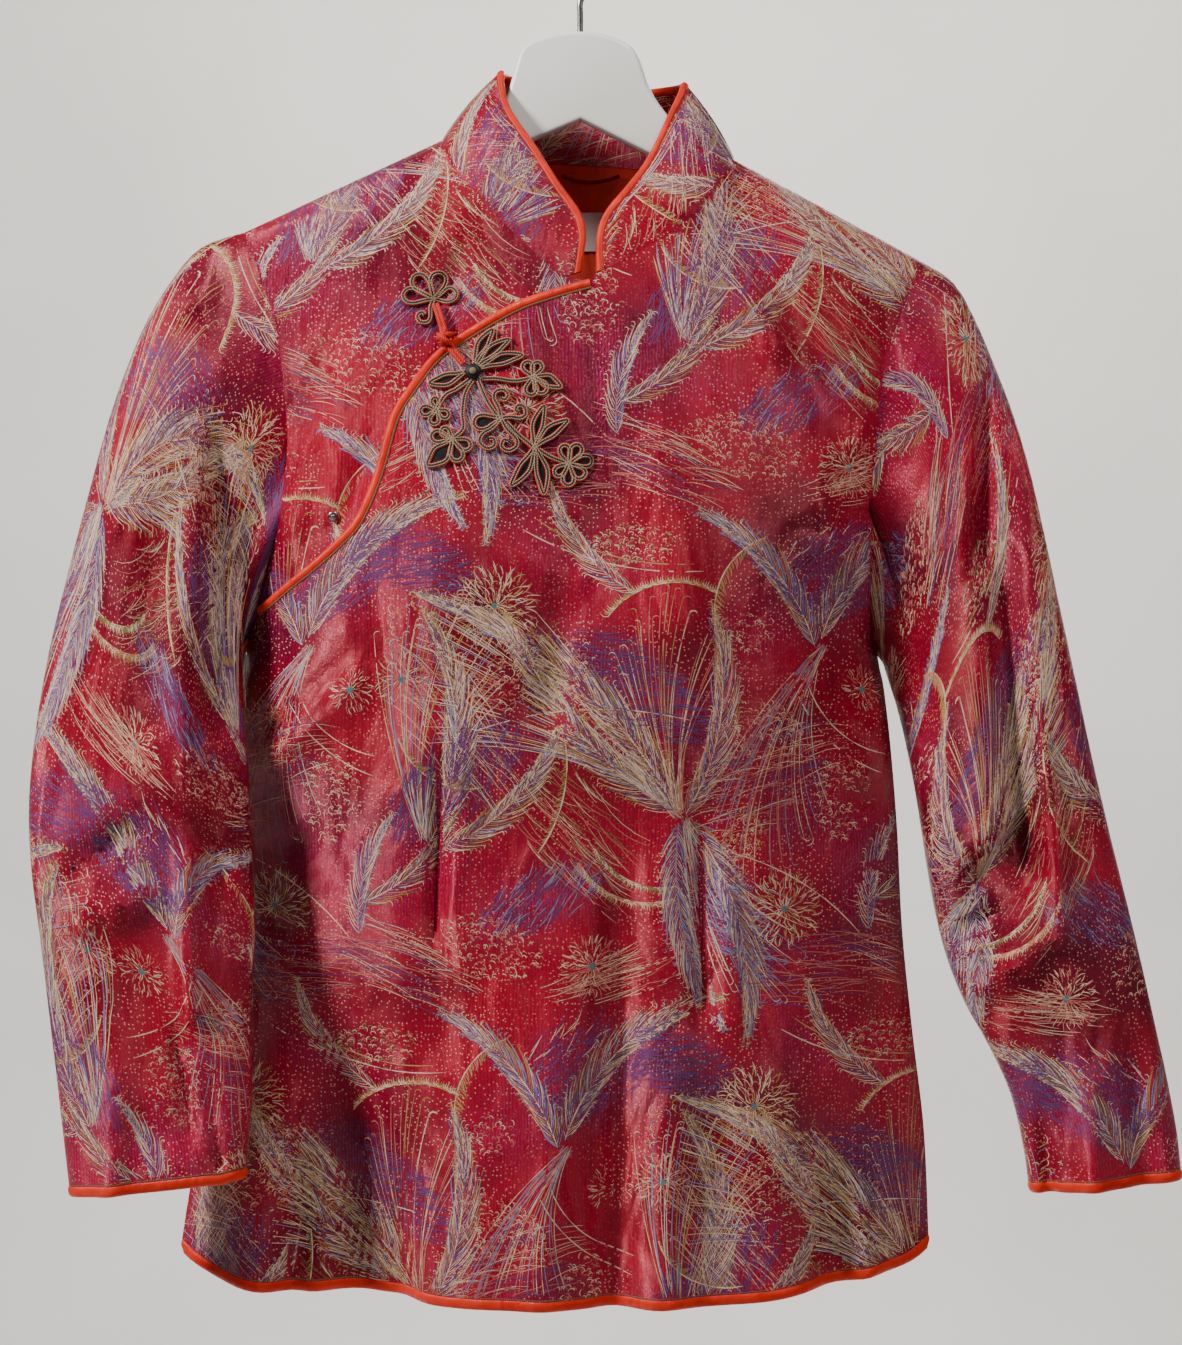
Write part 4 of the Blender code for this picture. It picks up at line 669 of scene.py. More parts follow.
def collar_walls(front, under, back):
    """Outer and inner points of the collar band, and its binding's middle line and axes."""
    paths = []
    chest = OVERLAP_CHEST_CELLS * DENSITY
    for layer in (0, 1):
        under_line = under[layer][-1][UNDER_SHOULDER_CELLS:][::-1]
        back_line = back[layer][-1][BACK_SHOULDER_CELLS:BACK_SHOULDER_CELLS + BACK_NECK_CELLS + 1]
        front_line = front[layer][-1][chest:chest + NECK_CELLS + 1][::-1]
        left_corner = (under_line[-1:] + back_line[:1]) / 2
        right_corner = (back_line[-1:] + front_line[:1]) / 2
        line = np.vstack([under_line[:-1], left_corner, back_line[1:-1], right_corner, front_line[1:]])
        paths.append(line[DENSITY:-DENSITY])
    edge = np.vstack([
        sample(COLLAR_EDGE_LEFT, NECK_CELLS - DENSITY),
        sample(COLLAR_EDGE_BACK, BACK_NECK_CELLS)[1:],
        sample(COLLAR_EDGE_RIGHT, NECK_CELLS - DENSITY)[1:],
    ])
    foot_out, foot_in = paths
    rise = edge - foot_out
    rise_way = unit(rise)
    normal = unit(np.cross(rise_way, np.gradient(edge + foot_out, axis=0)))
    height = np.maximum(np.linalg.norm(rise, axis=1, keepdims=True) - FRONT_BINDING, COLLAR_LEAST)
    share = np.linspace(0.0, 1.0, COLLAR_ROWS * DENSITY + 1)[:, None, None]
    swell = COLLAR_BULGE * 4 * share * (1 - share) * np.minimum(1.0, height / COLLAR_HEIGHT)
    outer = foot_out + rise_way * (height * share - SEAM_TUCK * (1 - share)) + normal * swell
    turn = smooth(share * 2.0)
    inner = outer + (foot_in - foot_out) * (1 - turn) - normal * CLOTH * turn
    centre = foot_out + rise_way * (height + FRONT_BINDING / 2 - BINDING_TUCK) - normal * CLOTH / 2
    return (outer, inner), (centre, rise_way, normal)


def square_to(vectors, away):
    return unit(vectors - away * (vectors * away).sum(axis=-1, keepdims=True))


def hem_binding_line(front, back):
    """Middle line and axes of the hem binding all round."""
    outside = np.vstack([front[0][0][:-1], back[0][0][::-1][:-1]])
    inside = np.vstack([front[1][0][:-1], back[1][0][::-1][:-1]])
    corners = [0, len(front[0][0]) - 1]
    run = np.roll(outside, -1, axis=0) - np.roll(outside, 1, axis=0)
    run[len(front[0][0]) - 1:] *= -1.0
    away = unit(np.stack([run[:, 2], np.zeros(len(run)), -run[:, 0]], axis=1))
    away[corners] = (0.0, 0.0, -1.0)
    outside[corners, 1] = 0.0
    inside[corners, 1] = 0.0
    centre = (outside + inside) / 2 + away * (HEM_BINDING / 2 - BINDING_TUCK)
    return centre, away, square_to(outside - inside, away)


def overlap_binding_line(front):
    """Middle line and axes of the binding along the upper front's free edge."""
    chest = OVERLAP_CHEST_CELLS * DENSITY
    lines = [np.vstack([layer[SIDE_CELLS + DENSITY:, 0], layer[-1][1:chest + 1]]) for layer in front]
    outside, inside = lines
    normal = unit(outside - inside)
    away = unit(np.cross(np.gradient(outside, axis=0), normal))
    away = np.where(away[:, 2:3] < 0, -away, away)
    middle = (outside + inside) / 2 + normal * BINDING_RAISE
    return middle + away * (FRONT_BINDING / 2 - BINDING_TUCK), away, normal


def cuff_binding_line(outer, inner, sections):
    last = section_rings(np.array(sections[-1:], float))[0]
    away = unit(last.mean(axis=0) - outer[-1].mean(axis=0))
    centre = (outer[-1] + inner[-1]) / 2 + away * (HEM_BINDING / 2 - BINDING_TUCK)
    away = np.repeat(away[None], len(centre), axis=0)
    return centre, away, square_to(outer[-1] - inner[-1], away)


def oval_rings(line, wide, thick, sides=14):
    """Oval rings square to a path, from its middle points, width and thickness axes."""
    centre, wide_axis, thick_axis = line
    angle = 2 * math.pi * (np.arange(sides) + 0.5) / sides
    across = (np.cos(angle) * wide / 2)[None, :, None]
    through = (np.sin(angle) * thick / 2)[None, :, None]
    return centre[:, None] + wide_axis[:, None] * across + thick_axis[:, None] * through


def grid_mesh(points, closed_ring=False, closed_run=False):
    """A bmesh grid laid on rows of points, and its numbers of rows and columns."""
    if closed_ring:
        points = np.concatenate([points, points[:, :1]], axis=1)
    if closed_run:
        points = np.concatenate([points, points[:1]], axis=0)
    rows, cols = points.shape[:2]
    build = bmesh.new()
    bmesh.ops.create_grid(build, x_segments=cols - 1, y_segments=rows - 1, size=1.0)
    flat = points.reshape(-1, 3) * MM
    for vertex, place in zip(build.verts, flat):
        vertex.co = place
    return build, rows, cols


def write_cut(build, cut, cols):
    """Writes each vertex's place on the cut cloth to the UV map; run before any merge."""
    layer = build.loops.layers.uv.new("cut")
    for face in build.faces:
        for loop in face.loops:
            number = loop.vert.index
            loop[layer].uv = cut[number // cols, number % cols]


def finished(name, build, material_names, sharp=50.0):
    """A piece from a bmesh, smooth up to an angle between its faces."""
    mesh = bpy.data.meshes.new(name)
    build.to_mesh(mesh)
    build.free()
    for material_name in material_names:
        mesh.materials.append(FINISHES[material_name])
    mesh.shade_smooth()
    mesh.set_sharp_from_angle(angle=math.radians(sharp))
    piece = bpy.data.objects.new(name, mesh)
    bpy.context.scene.collection.objects.link(piece)
    return piece


def declared(piece, slot, *replaced):
    """Makes a piece ride on the root and hides the solids it replaces; its slot is not used."""
    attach(piece, "root")
    if replaced:
        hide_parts(*replaced)
    return piece


def close_ends(build):
    """Merges the seam of a swept rod and fills its open ends."""
    bmesh.ops.remove_doubles(build, verts=build.verts, dist=MERGE)
    open_edges = [edge for edge in build.edges if edge.is_boundary]
    if open_edges:
        bmesh.ops.holes_fill(build, edges=open_edges, sides=0)


def outward(build):
    bmesh.ops.recalc_face_normals(build, faces=build.faces)
    if build.calc_volume(signed=True) < 0:
        bmesh.ops.reverse_faces(build, faces=build.faces)


def cloth_piece(name, layers, cut, materials, closed=False, tint=None):
    """Closed cloth wall between two grids of points; its inner side takes the second material."""
    outer, inner = layers
    if closed:
        outer = np.concatenate([outer, outer[:, :1]], axis=1)
        inner = np.concatenate([inner, inner[:, :1]], axis=1)
    build, rows, cols = grid_mesh(outer)
    build.verts.index_update()
    station = build.verts.layers.int.new("station")
    tinted = build.verts.layers.float_color.new("tint")
    flat_tint = np.zeros((rows * cols, 4)) if tint is None else tint.reshape(-1, 4)
    for number, vertex in enumerate(build.verts):
        vertex[station] = number
        vertex[tinted] = flat_tint[number]
    write_cut(build, cut * MM, cols)
    if closed:
        bmesh.ops.remove_doubles(build, verts=build.verts, dist=MERGE)
    raised = bmesh.ops.extrude_face_region(build, geom=build.faces[:], use_keep_orig=True)
    flat = inner.reshape(-1, 3) * MM
    turned = []
    for item in raised["geom"]:
        if isinstance(item, bmesh.types.BMVert):
            item.co = flat[item[station]]
        elif isinstance(item, bmesh.types.BMFace):
            turned.append(item)
    for face in turned:
        face.material_index = 1
    outward(build)
    return finished(name, build, materials)


def tube_piece(name, rings, material, slot, replaced=(), closed_run=False):
    """Rod swept through rings, with its cut map along its length and round it."""
    sides = rings.shape[1]
    build, rows, cols = grid_mesh(rings, closed_ring=True, closed_run=closed_run)
    build.verts.index_update()
    length = run_lengths(np.concatenate([rings, rings[:1]]).mean(axis=1))[:rows]
    girth = np.linalg.norm(rings[0] - np.roll(rings[0], 1, axis=0), axis=1).sum()
    cut = np.stack(np.meshgrid(np.arange(cols) / sides * girth, length), axis=-1)
    write_cut(build, cut * MM, cols)
    close_ends(build)
    outward(build)
    return declared(finished(name, build, [material]), slot, *replaced)


# Woven print: one repeat of plume, burst and curl motifs, in half-drop rows
REPEAT = (300.0, 290.0)
STATIONS = 5
MOST_STROKES = 20000
THREAD_LIFT = 0.12
SLEEVE_CELLS_ROUND = 240
TAPER = np.array((0.45, 0.95, 1.0, 0.9, 0.30))

# Widths of the threads, and the number of parts in a long one
SPINE_THREAD = 0.8
UNDER_THREAD = 0.7
BARB_THREAD = 0.44
TIP_THREAD = 0.4
TAIL_THREAD = 0.46
TAIL_END_THREAD = 0.5
PETAL_THREAD = 0.5
EYE_THREAD = 0.9
CURL_THREAD = 0.46
HATCH_THREAD = 0.42
TOOTH_THREAD = 0.55
BROW_THREAD = 0.85
SCALLOP_THREAD = 0.55
COMB_THREAD = 0.34
LONG_PARTS = 3

# Rings of a burst: share of its radius, share of its petals
BURST_RINGS = ((0.22, 0.14), (0.42, 0.2), (0.62, 0.28), (0.82, 0.38))
EYE_STROKES = 9
SCALLOP_SIZES = (1.0, 0.7, 0.42)

# Clear strip between the print and the edges of a sleeve and of the collar
SLEEVE_CLEAR_SIDE = 0.6
SLEEVE_CLEAR_END = 0.8
COLLAR_CLEAR_END = 1.0
COLLAR_CLEAR_FOOT = 0.6
COLLAR_CLEAR_TOP = 0.4
random_draw = np.random.default_rng(71)


def arcs(start, heading, length, bend, width, colour, parts=1):
    """Bent strokes; each argument is one value or one per stroke. Long ones are made of several parts."""
    start = np.atleast_2d(np.array(start, float))
    heading, length, bend, width, colour = np.broadcast_arrays(heading, length, bend, width, colour)
    count = max(len(start), heading.size)
    start = np.broadcast_to(start, (count, 2))
    heading, length, bend, width, colour = [
        np.broadcast_to(np.ravel(value), (count,)) for value in (heading, length, bend, width, colour)
    ]
    cells = parts * (STATIONS - 1)
    share = (np.arange(cells) + 0.5) / cells
    angle = np.radians(heading[:, None] + bend[:, None] * share[None])
    step = (length / cells)[:, None, None] * np.stack([np.cos(angle), np.sin(angle)], axis=2)
    path = np.concatenate([np.zeros((count, 1, 2)), np.cumsum(step, axis=1)], axis=1) + start[:, None]
    pieces = [path[:, part * (STATIONS - 1):(part + 1) * (STATIONS - 1) + 1] for part in range(parts)]
    return np.concatenate(pieces), np.tile(width, parts), np.tile(colour, parts)


def joined(strokes):
    return tuple(np.concatenate([stroke[part] for stroke in strokes]) for part in range(3))


def jitter(count, spread):
    return random_draw.uniform(-spread, spread, count)


def pick(colours, count):
    return random_draw.choice(colours, count)


def spine_of(root, heading, length, bend, count):
    share = np.linspace(0.0, 1.0, count)
    angle = np.radians(heading + bend * share)
    step = length / (count - 1) * np.stack([np.cos(angle), np.sin(angle)], axis=1)
    place = np.array(root) + np.concatenate([np.zeros((1, 2)), np.cumsum(step[:-1], axis=0)])
    return share, place, np.degrees(angle)


def plume(root, heading, length, bend, barb, count, colours, under_colours, spread=46.0):
    """Feather: a spine with barbs curving back on both sides and a brushed layer below them."""
    strokes = [arcs(root, heading, length, bend, SPINE_THREAD, colours[0], LONG_PARTS)]
    share, place, angle = spine_of(root, heading, length, bend, count)
    reach = barb * (0.35 + 0.65 * np.sin(math.pi * np.clip(share * 0.92 + 0.06, 0, 1)) ** 0.7)
    half = len(share[::2])
    for side in (-1.0, 1.0):
        open_angle = spread * (1.08 - 0.6 * share)
        strokes.append(arcs(
            place[::2] + jitter(half, 1.2)[:, None],
            (angle + side * open_angle * 0.8)[::2] + jitter(half, 6.0),
            reach[::2] * (0.8 + jitter(half, 0.2)), -side * (16.0 + jitter(half, 12.0)), UNDER_THREAD,
            pick(under_colours, half),
        ))
        strokes.append(arcs(
            place, angle + side * (open_angle + jitter(count, 2.5)), reach * (1.0 + jitter(count, 0.1)),
            -side * (34.0 + jitter(count, 6.0)), BARB_THREAD, pick(colours, count),
        ))
        tips = strokes[-1][0][:, -1]
        strokes.append(arcs(
            tips, angle + side * (open_angle - 34.0), 3.4 + jitter(count, 1.0), side * 150.0, TIP_THREAD,
            strokes[-1][2],
        ))
    return joined(strokes)


def tail(root, heading, length, count, fan, bend, colours, hook=70.0):
    """Long flowing barbs that fan from one place, some with curled ends."""
    offset = np.linspace(-0.5, 0.5, count) + jitter(count, 0.02)
    reach = length * (1.0 - 0.5 * np.abs(offset) * 2 * random_draw.uniform(0.4, 1.0, count))
    start = np.array(root) + np.stack([jitter(count, 3.0), jitter(count, 3.0)], axis=1)
    turn = bend + offset * 30.0
    lines = arcs(start, heading + offset * fan, reach, turn, TAIL_THREAD, pick(colours, count), LONG_PARTS)
    end = lines[0][-count:, -1]
    last = heading + offset * fan + turn
    side = np.where(random_draw.random(count) < 0.5, -1.0, 1.0)
    reach = 5.0 + jitter(count, 2.0)
    ends = arcs(end, last, reach, side * (hook + 60.0), TAIL_END_THREAD, lines[2][:count])
    return joined([lines, ends])


def burst(centre, radius, count, colours):
    """Round head of many short curved petals about a teal eye."""
    strokes = []
    for ring, amount in BURST_RINGS:
        number = max(8, int(count * amount))
        angle = np.linspace(0.0, 360.0, number, endpoint=False) + jitter(number, 9.0)
        swing = np.radians(angle)
        inner = radius * (ring - 0.14 + jitter(number, 0.05))
        start = np.array(centre) + np.stack([np.cos(swing) * inner, np.sin(swing) * inner], axis=1)
        strokes.append(arcs(
            start, angle + jitter(number, 14.0), radius * (0.26 + jitter(number, 0.06)),
            jitter(number, 70.0), PETAL_THREAD, pick(colours, number),
        ))
    angle = np.linspace(0.0, 360.0, EYE_STROKES, endpoint=False)
    strokes.append(arcs(centre, angle, 2.4, 120.0, EYE_THREAD, TEAL))
    return joined(strokes)


def in_oval(centre, half_x, half_z, turn, count):
    radius = np.sqrt(random_draw.random(count))
    angle = random_draw.random(count) * 2 * math.pi
    swing = math.radians(turn)
    along, aside = radius * np.cos(angle) * half_x, radius * np.sin(angle) * half_z
    return np.array(centre) + np.stack([
        along * math.cos(swing) - aside * math.sin(swing), along * math.sin(swing) + aside * math.cos(swing),
    ], axis=1)


def curls_field(centre, half_x, half_z, turn, count, colours):
    """Field of small hooked curls that lean one way."""
    place = in_oval(centre, half_x, half_z, turn, count)
    return arcs(
        place, turn + 90.0 + jitter(count, 50.0), 3.6 + jitter(count, 1.2),
        np.where(random_draw.random(count) < 0.7, 1.0, -1.0) * (150.0 + jitter(count, 60.0)),
        CURL_THREAD, pick(colours, count),
    )


def hatch_field(centre, half_x, half_z, turn, count, colours, length=9.0):
    """Brushed patch of fine slanting strokes."""
    place = in_oval(centre, half_x, half_z, turn, count)
    return arcs(
        place, turn + 28.0 + jitter(count, 12.0), length * (1.0 + jitter(count, 0.35)), jitter(count, 24.0),
        HATCH_THREAD, pick(colours, count),
    )


def brow(root, heading, length, bend, tooth, colours):
    """Long arc with short teeth on its hollow side."""
    count = int(length / 1.25)
    share, place, angle = spine_of(root, heading, length, bend, count)
    side = 1.0 if bend > 0 else -1.0
    teeth = arcs(
        place, angle + side * (68.0 + jitter(count, 14.0)),
        tooth * (0.35 + 0.75 * np.sin(math.pi * share)) * (1 + jitter(count, 0.3)),
        -side * 30.0, TOOTH_THREAD, pick(colours, count),
    )
    return joined([arcs(root, heading, length, bend, BROW_THREAD, CREAM, LONG_PARTS), teeth])


def scallops(root, heading, length, bend, size, colours):
    """Row of nested loops along an arc."""
    count = int(length / size * 1.6)
    share, place, angle = spine_of(root, heading, length, bend, count)
    rows = []
    for grow in SCALLOP_SIZES:
        loop = size * 2.4 * grow
        rows.append(arcs(place, angle + 75.0, loop, -195.0, SCALLOP_THREAD, pick(colours, count)))
    return joined(rows)


WARM = (CREAM, CREAM, GOLD, PINK)
FEATHER = (CREAM, CREAM, GOLD, OLIVE)
COOL = (SLATE, LAVENDER, SLATE, LAVENDER, PALE_BLUE)
CORAL = (PINK, PINK, CREAM)


def comb_field(centre, half_x, half_z, turn, count, colours, length=30.0, bend=24.0):
    """Fine flowing lines that run one way, as the ground between the plumes."""
    place = in_oval(centre, half_x, half_z, turn, count)
    return arcs(
        place, turn + jitter(count, 8.0), length * (1.0 + jitter(count, 0.4)), bend + jitter(count, 14.0),
        COMB_THREAD, pick(colours, count),
    )


def print_repeat():
    """Strokes of one repeat, its corner at 0, 0."""
    return joined([
        tail((178.0, 112.0), 132.0, 205.0, 46, 24.0, 26.0, (CREAM, CREAM, PALE_BLUE, GOLD)),
        tail((178.0, 114.0), 104.0, 130.0, 26, 28.0, -22.0, (CREAM, PINK, GOLD)),
        plume((176.0, 116.0), 118.0, 182.0, 42.0, 40.0, 92, FEATHER, COOL, 34.0),
        plume((176.0, 114.0), 150.0, 140.0, -36.0, 32.0, 74, FEATHER, COOL, 38.0),
        plume((182.0, 112.0), 58.0, 112.0, 46.0, 30.0, 60, WARM, COOL, 36.0),
        plume((184.0, 108.0), -52.0, 124.0, -44.0, 32.0, 66, (CREAM, PALE_BLUE, GOLD), COOL, 36.0),
        plume((178.0, 106.0), -98.0, 112.0, 38.0, 28.0, 60, (PALE_BLUE, CREAM, CREAM), COOL, 38.0),
        plume((34.0, 96.0), 62.0, 126.0, 54.0, 32.0, 66, FEATHER, COOL, 38.0),
        plume((40.0, 92.0), 20.0, 92.0, 48.0, 24.0, 48, FEATHER, COOL, 40.0),
        plume((262.0, 214.0), 72.0, 116.0, -56.0, 30.0, 62, FEATHER, COOL, 38.0),
        plume((258.0, 210.0), 108.0, 94.0, 44.0, 26.0, 50, (CREAM, GOLD, PALE_BLUE), COOL, 38.0),
        tail((30.0, 98.0), 100.0, 150.0, 28, 30.0, -34.0, (CREAM, GOLD, PALE_BLUE)),
        tail((264.0, 208.0), -128.0, 146.0, 28, 28.0, 38.0, (CREAM, PINK, PALE_BLUE)),
        tail((182.0, 108.0), -76.0, 124.0, 24, 30.0, 28.0, (CREAM, CREAM, PALE_BLUE)),
        burst((72.0, 232.0), 27.0, 200, WARM), burst((240.0, 56.0), 24.0, 180, WARM),
        burst((128.0, 24.0), 20.0, 140, CORAL), burst((18.0, 190.0), 18.0, 120, CORAL),
        curls_field((96.0, 194.0), 34.0, 20.0, 20.0, 280, CORAL),
        curls_field((226.0, 160.0), 30.0, 18.0, -30.0, 240, CORAL),
        curls_field((212.0, 92.0), 26.0, 13.0, 60.0, 190, (CREAM, GOLD, PINK)),
        curls_field((66.0, 34.0), 34.0, 18.0, -14.0, 250, CORAL),
        curls_field((276.0, 120.0), 18.0, 26.0, 0.0, 200, (PINK, CREAM)),
        curls_field((150.0, 264.0), 28.0, 14.0, 10.0, 190, (CREAM, OLIVE, PINK)),
        scallops((118.0, 84.0), -62.0, 64.0, 80.0, 4.6, (CREAM, PINK, GOLD)),
        scallops((128.0, 92.0), -62.0, 54.0, 70.0, 4.0, (CREAM, OLIVE)),
        scallops((202.0, 240.0), 150.0, 70.0, 80.0, 4.4, (CREAM, GOLD)),
        brow((228.0, 272.0), 200.0, 76.0, 96.0, 6.0, (GOLD, OLIVE, GOLD, PINK)),
        brow((16.0, 156.0), -72.0, 62.0, 84.0, 5.0, (GOLD, GOLD, OLIVE)),
        brow((112.0, 156.0), -80.0, 70.0, -46.0, 4.0, (OLIVE, GOLD)),
        hatch_field((46.0, 126.0), 48.0, 22.0, 40.0, 280, (LAVENDER, SLATE), 12.0),
        hatch_field((150.0, 186.0), 50.0, 20.0, -34.0, 280, (SLATE, LAVENDER), 12.0),
        hatch_field((206.0, 52.0), 40.0, 18.0, -56.0, 220, (SLATE, PALE_BLUE), 11.0),
        hatch_field((272.0, 246.0), 36.0, 24.0, 20.0, 240, (LAVENDER, SLATE), 12.0),
        hatch_field((96.0, 60.0), 38.0, 16.0, 24.0, 200, (LAVENDER, SLATE, PALE_BLUE), 10.0),
        hatch_field((20.0, 258.0), 34.0, 18.0, -20.0, 200, (SLATE, LAVENDER), 11.0),
        comb_field((60.0, 150.0), 56.0, 24.0, 118.0, 110, (PINK, CREAM, LAVENDER)),
        comb_field((214.0, 128.0), 50.0, 26.0, 30.0, 110, (PINK, SLATE, CREAM), 26.0, -30.0),
        comb_field((110.0, 110.0), 40.0, 26.0, -60.0, 100, (CREAM, OLIVE, PINK), 28.0, 30.0),
        comb_field((248.0, 20.0), 46.0, 20.0, 10.0, 90, (PINK, LAVENDER), 28.0, -20.0),
        comb_field((30.0, 20.0), 40.0, 22.0, 150.0, 90, (PINK, CREAM, SLATE), 28.0, 22.0),
        arcs(
            ((248.0, 180.0), (254.0, 186.0), (88.0, 276.0), (96.0, 282.0), (60.0, 160.0), (286.0, 40.0)),
            (-64.0, -70.0, -30.0, -36.0, 20.0, 130.0), (72.0, 66.0, 108.0, 96.0, 126.0, 112.0),
            (46.0, 60.0, 34.0, 40.0, -34.0, 42.0), 0.7, (CREAM, CREAM, CREAM, GOLD, CREAM, CREAM), 3,
        ),
        plume((-6.0, 60.0), 20.0, 64.0, 42.0, 21.0, 26, FEATHER, COOL, 38.0),
        plume((292.0, 42.0), 96.0, 66.0, -42.0, 20.0, 26, (PALE_BLUE, CREAM, CREAM), COOL, 38.0),
        plume((152.0, 240.0), 152.0, 72.0, -46.0, 21.0, 28, WARM, COOL, 38.0),
        burst((288.0, 184.0), 15.0, 80, CORAL), curls_field((222.0, 216.0), 15.0, 12.0, 0.0, 60, CORAL),
        comb_field((130.0, 14.0), 34.0, 13.0, 10.0, 60, (CREAM, PINK)),
        hatch_field((262.0, 268.0), 24.0, 12.0, 20.0, 50, (CREAM, LAVENDER), 11.0),
    ])


def spread_print(low, high, shift):
    """Copies of the repeat that reach into a box of the cut cloth; shift is where its corner lies."""
    path, width, colour = REPEAT_STROKES
    rows = range(int((low[1] - shift[1]) // REPEAT[1]) - 1, int((high[1] - shift[1]) // REPEAT[1]) + 2)
    copies = []
    for row in rows:
        drop = shift[0] + (row % 2) * REPEAT[0] / 2
        for col in range(int((low[0] - drop) // REPEAT[0]) - 1, int((high[0] - drop) // REPEAT[0]) + 2):
            moved = path + (drop + col * REPEAT[0], shift[1] + row * REPEAT[1])
            near = ((moved > low) & (moved < high)).all(axis=2).any(axis=1)
            copies.append((moved[near], width[near], colour[near]))
    return joined(copies)


def inside_outline(points, outline):
    """Even-odd test of x, z points against a closed outline."""
    inside = np.zeros(len(points), bool)
    x, z = points[:, 0], points[:, 1]
    for start, end in zip(outline, np.roll(outline, -1, axis=0)):
        if start[1] == end[1]:
            continue
        between = (start[1] > z) != (end[1] > z)
        crossing = start[0] + (z[between] - start[1]) * (end[0] - start[0]) / (end[1] - start[1])
        inside[between] ^= x[between] < crossing
    return inside


def clipped(strokes, inside_test):
    """Strokes cut back to their first run of stations inside the cloth."""
    path, width, colour = strokes
    inside = inside_test(path.reshape(-1, 2)).reshape(path.shape[:2])
    turned = ~inside[:, 0] & inside[:, -1]
    path = np.where(turned[:, None, None], path[:, ::-1], path)
    inside = np.where(turned[:, None], inside[:, ::-1], inside)
    run = np.cumprod(inside, axis=1).sum(axis=1)
    kept = run >= 2
    path, width, colour, run = path[kept], width[kept], colour[kept], run[kept]
    place = np.linspace(0.0, 1.0, STATIONS)[None] * (run - 1)[:, None]
    before = np.minimum(place.astype(int), STATIONS - 2)
    share = (place - before)[..., None]
    number = np.arange(len(path))[:, None]
    return path[number, before] * (1 - share) + path[number, before + 1] * share, width, colour


def even_grid(outer, cells):
    """Closed rings laid out again at even spacing round each ring, and their girths."""
    closed = np.concatenate([outer, outer[:, :1]], axis=1)
    rows, girths = [], []
    for ring in closed:
        length = run_lengths(ring)
        wanted = np.linspace(0.0, length[-1], cells + 1)
        rows.append(np.stack([np.interp(wanted, length, ring[:, axis]) for axis in range(3)], axis=1))
        girths.append(length[-1])
    return np.array(rows), np.array(girths)


def on_grid(grid, rows_at, cols_at):
    """Bilinear places on a grid of points."""
    row = np.clip(rows_at.astype(int), 0, grid.shape[0] - 2)
    col = np.clip(cols_at.astype(int), 0, grid.shape[1] - 2)
    down, across = (rows_at - row)[..., None], (cols_at - col)[..., None]
    above = grid[row, col] * (1 - across) + grid[row, col + 1] * across
    below = grid[row + 1, col] * (1 - across) + grid[row + 1, col + 1] * across
    return above * (1 - down) + below * down


def thread_piece(name, point, normal, width, colour):
    """Flat threads on the cloth: one ribbon per stroke, coloured by its column of the map."""
    along = unit(np.gradient(point, axis=1))
    side = unit(np.cross(along, normal)) * (width[:, None, None] / 2 * TAPER[None, :, None])
    lift = normal * THREAD_LIFT
    rims = np.stack([point + lift - side, point + lift + side], axis=2).reshape(-1, 3) * MM
    build = bmesh.new()
    bmesh.ops.create_grid(build, x_segments=1, y_segments=len(point) * STATIONS - 1, size=1.0)
    bridges = [face for number, face in enumerate(build.faces) if number % STATIONS == STATIONS - 1]
    bmesh.ops.delete(build, geom=bridges, context="FACES_ONLY")
    mesh = bpy.data.meshes.new(name)
    build.to_mesh(mesh)
    build.free()
    mesh.vertices.foreach_set("co", rims.ravel())
    corner = np.zeros(len(mesh.loops), int)
    mesh.loops.foreach_get("vertex_index", corner)
    station, rim = corner // 2, corner % 2
    stroke = station // STATIONS
    columns = len(THREAD_COLOURS)
    across = (colour[stroke] + 0.2 + 0.6 * rim) / columns
    down = (station % STATIONS) / (STATIONS - 1) * 0.9 + 0.05
    layer = mesh.uv_layers.new(name="OFBake")
    layer.data.foreach_set("uv", np.stack([across, down], axis=1).ravel())
    mesh.materials.append(FINISHES["plume_thread"])
    mesh.shade_smooth()
    mesh.update()
    piece = bpy.data.objects.new(name, mesh)
    bpy.context.scene.collection.objects.link(piece)
    declared(piece, "brocade")


def flat_threads(name, cut, surface, shift):
    """Print threads over a panel that is laid out in x and z."""
    outline = np.vstack([cut[0], cut[1:, -1], cut[-1, ::-1][1:], cut[::-1, 0][1:-1]])
    low, high = cut.min(axis=(0, 1)), cut.max(axis=(0, 1))
    print_here = spread_print(low, high, shift)
    path, width, colour = clipped(print_here, lambda places: inside_outline(places, outline))
    point, normal = skin(surface, path[..., 0], path[..., 1])
    if len(path) < MOST_STROKES:
        thread_piece(name, point, normal, width, colour)
        return
    upper = path[:, 0, 1] > np.median(path[:, 0, 1])
    for part, chosen in (("_high", upper), ("_low", ~upper)):
        thread_piece(name + part, point[chosen], normal[chosen], width[chosen], colour[chosen])


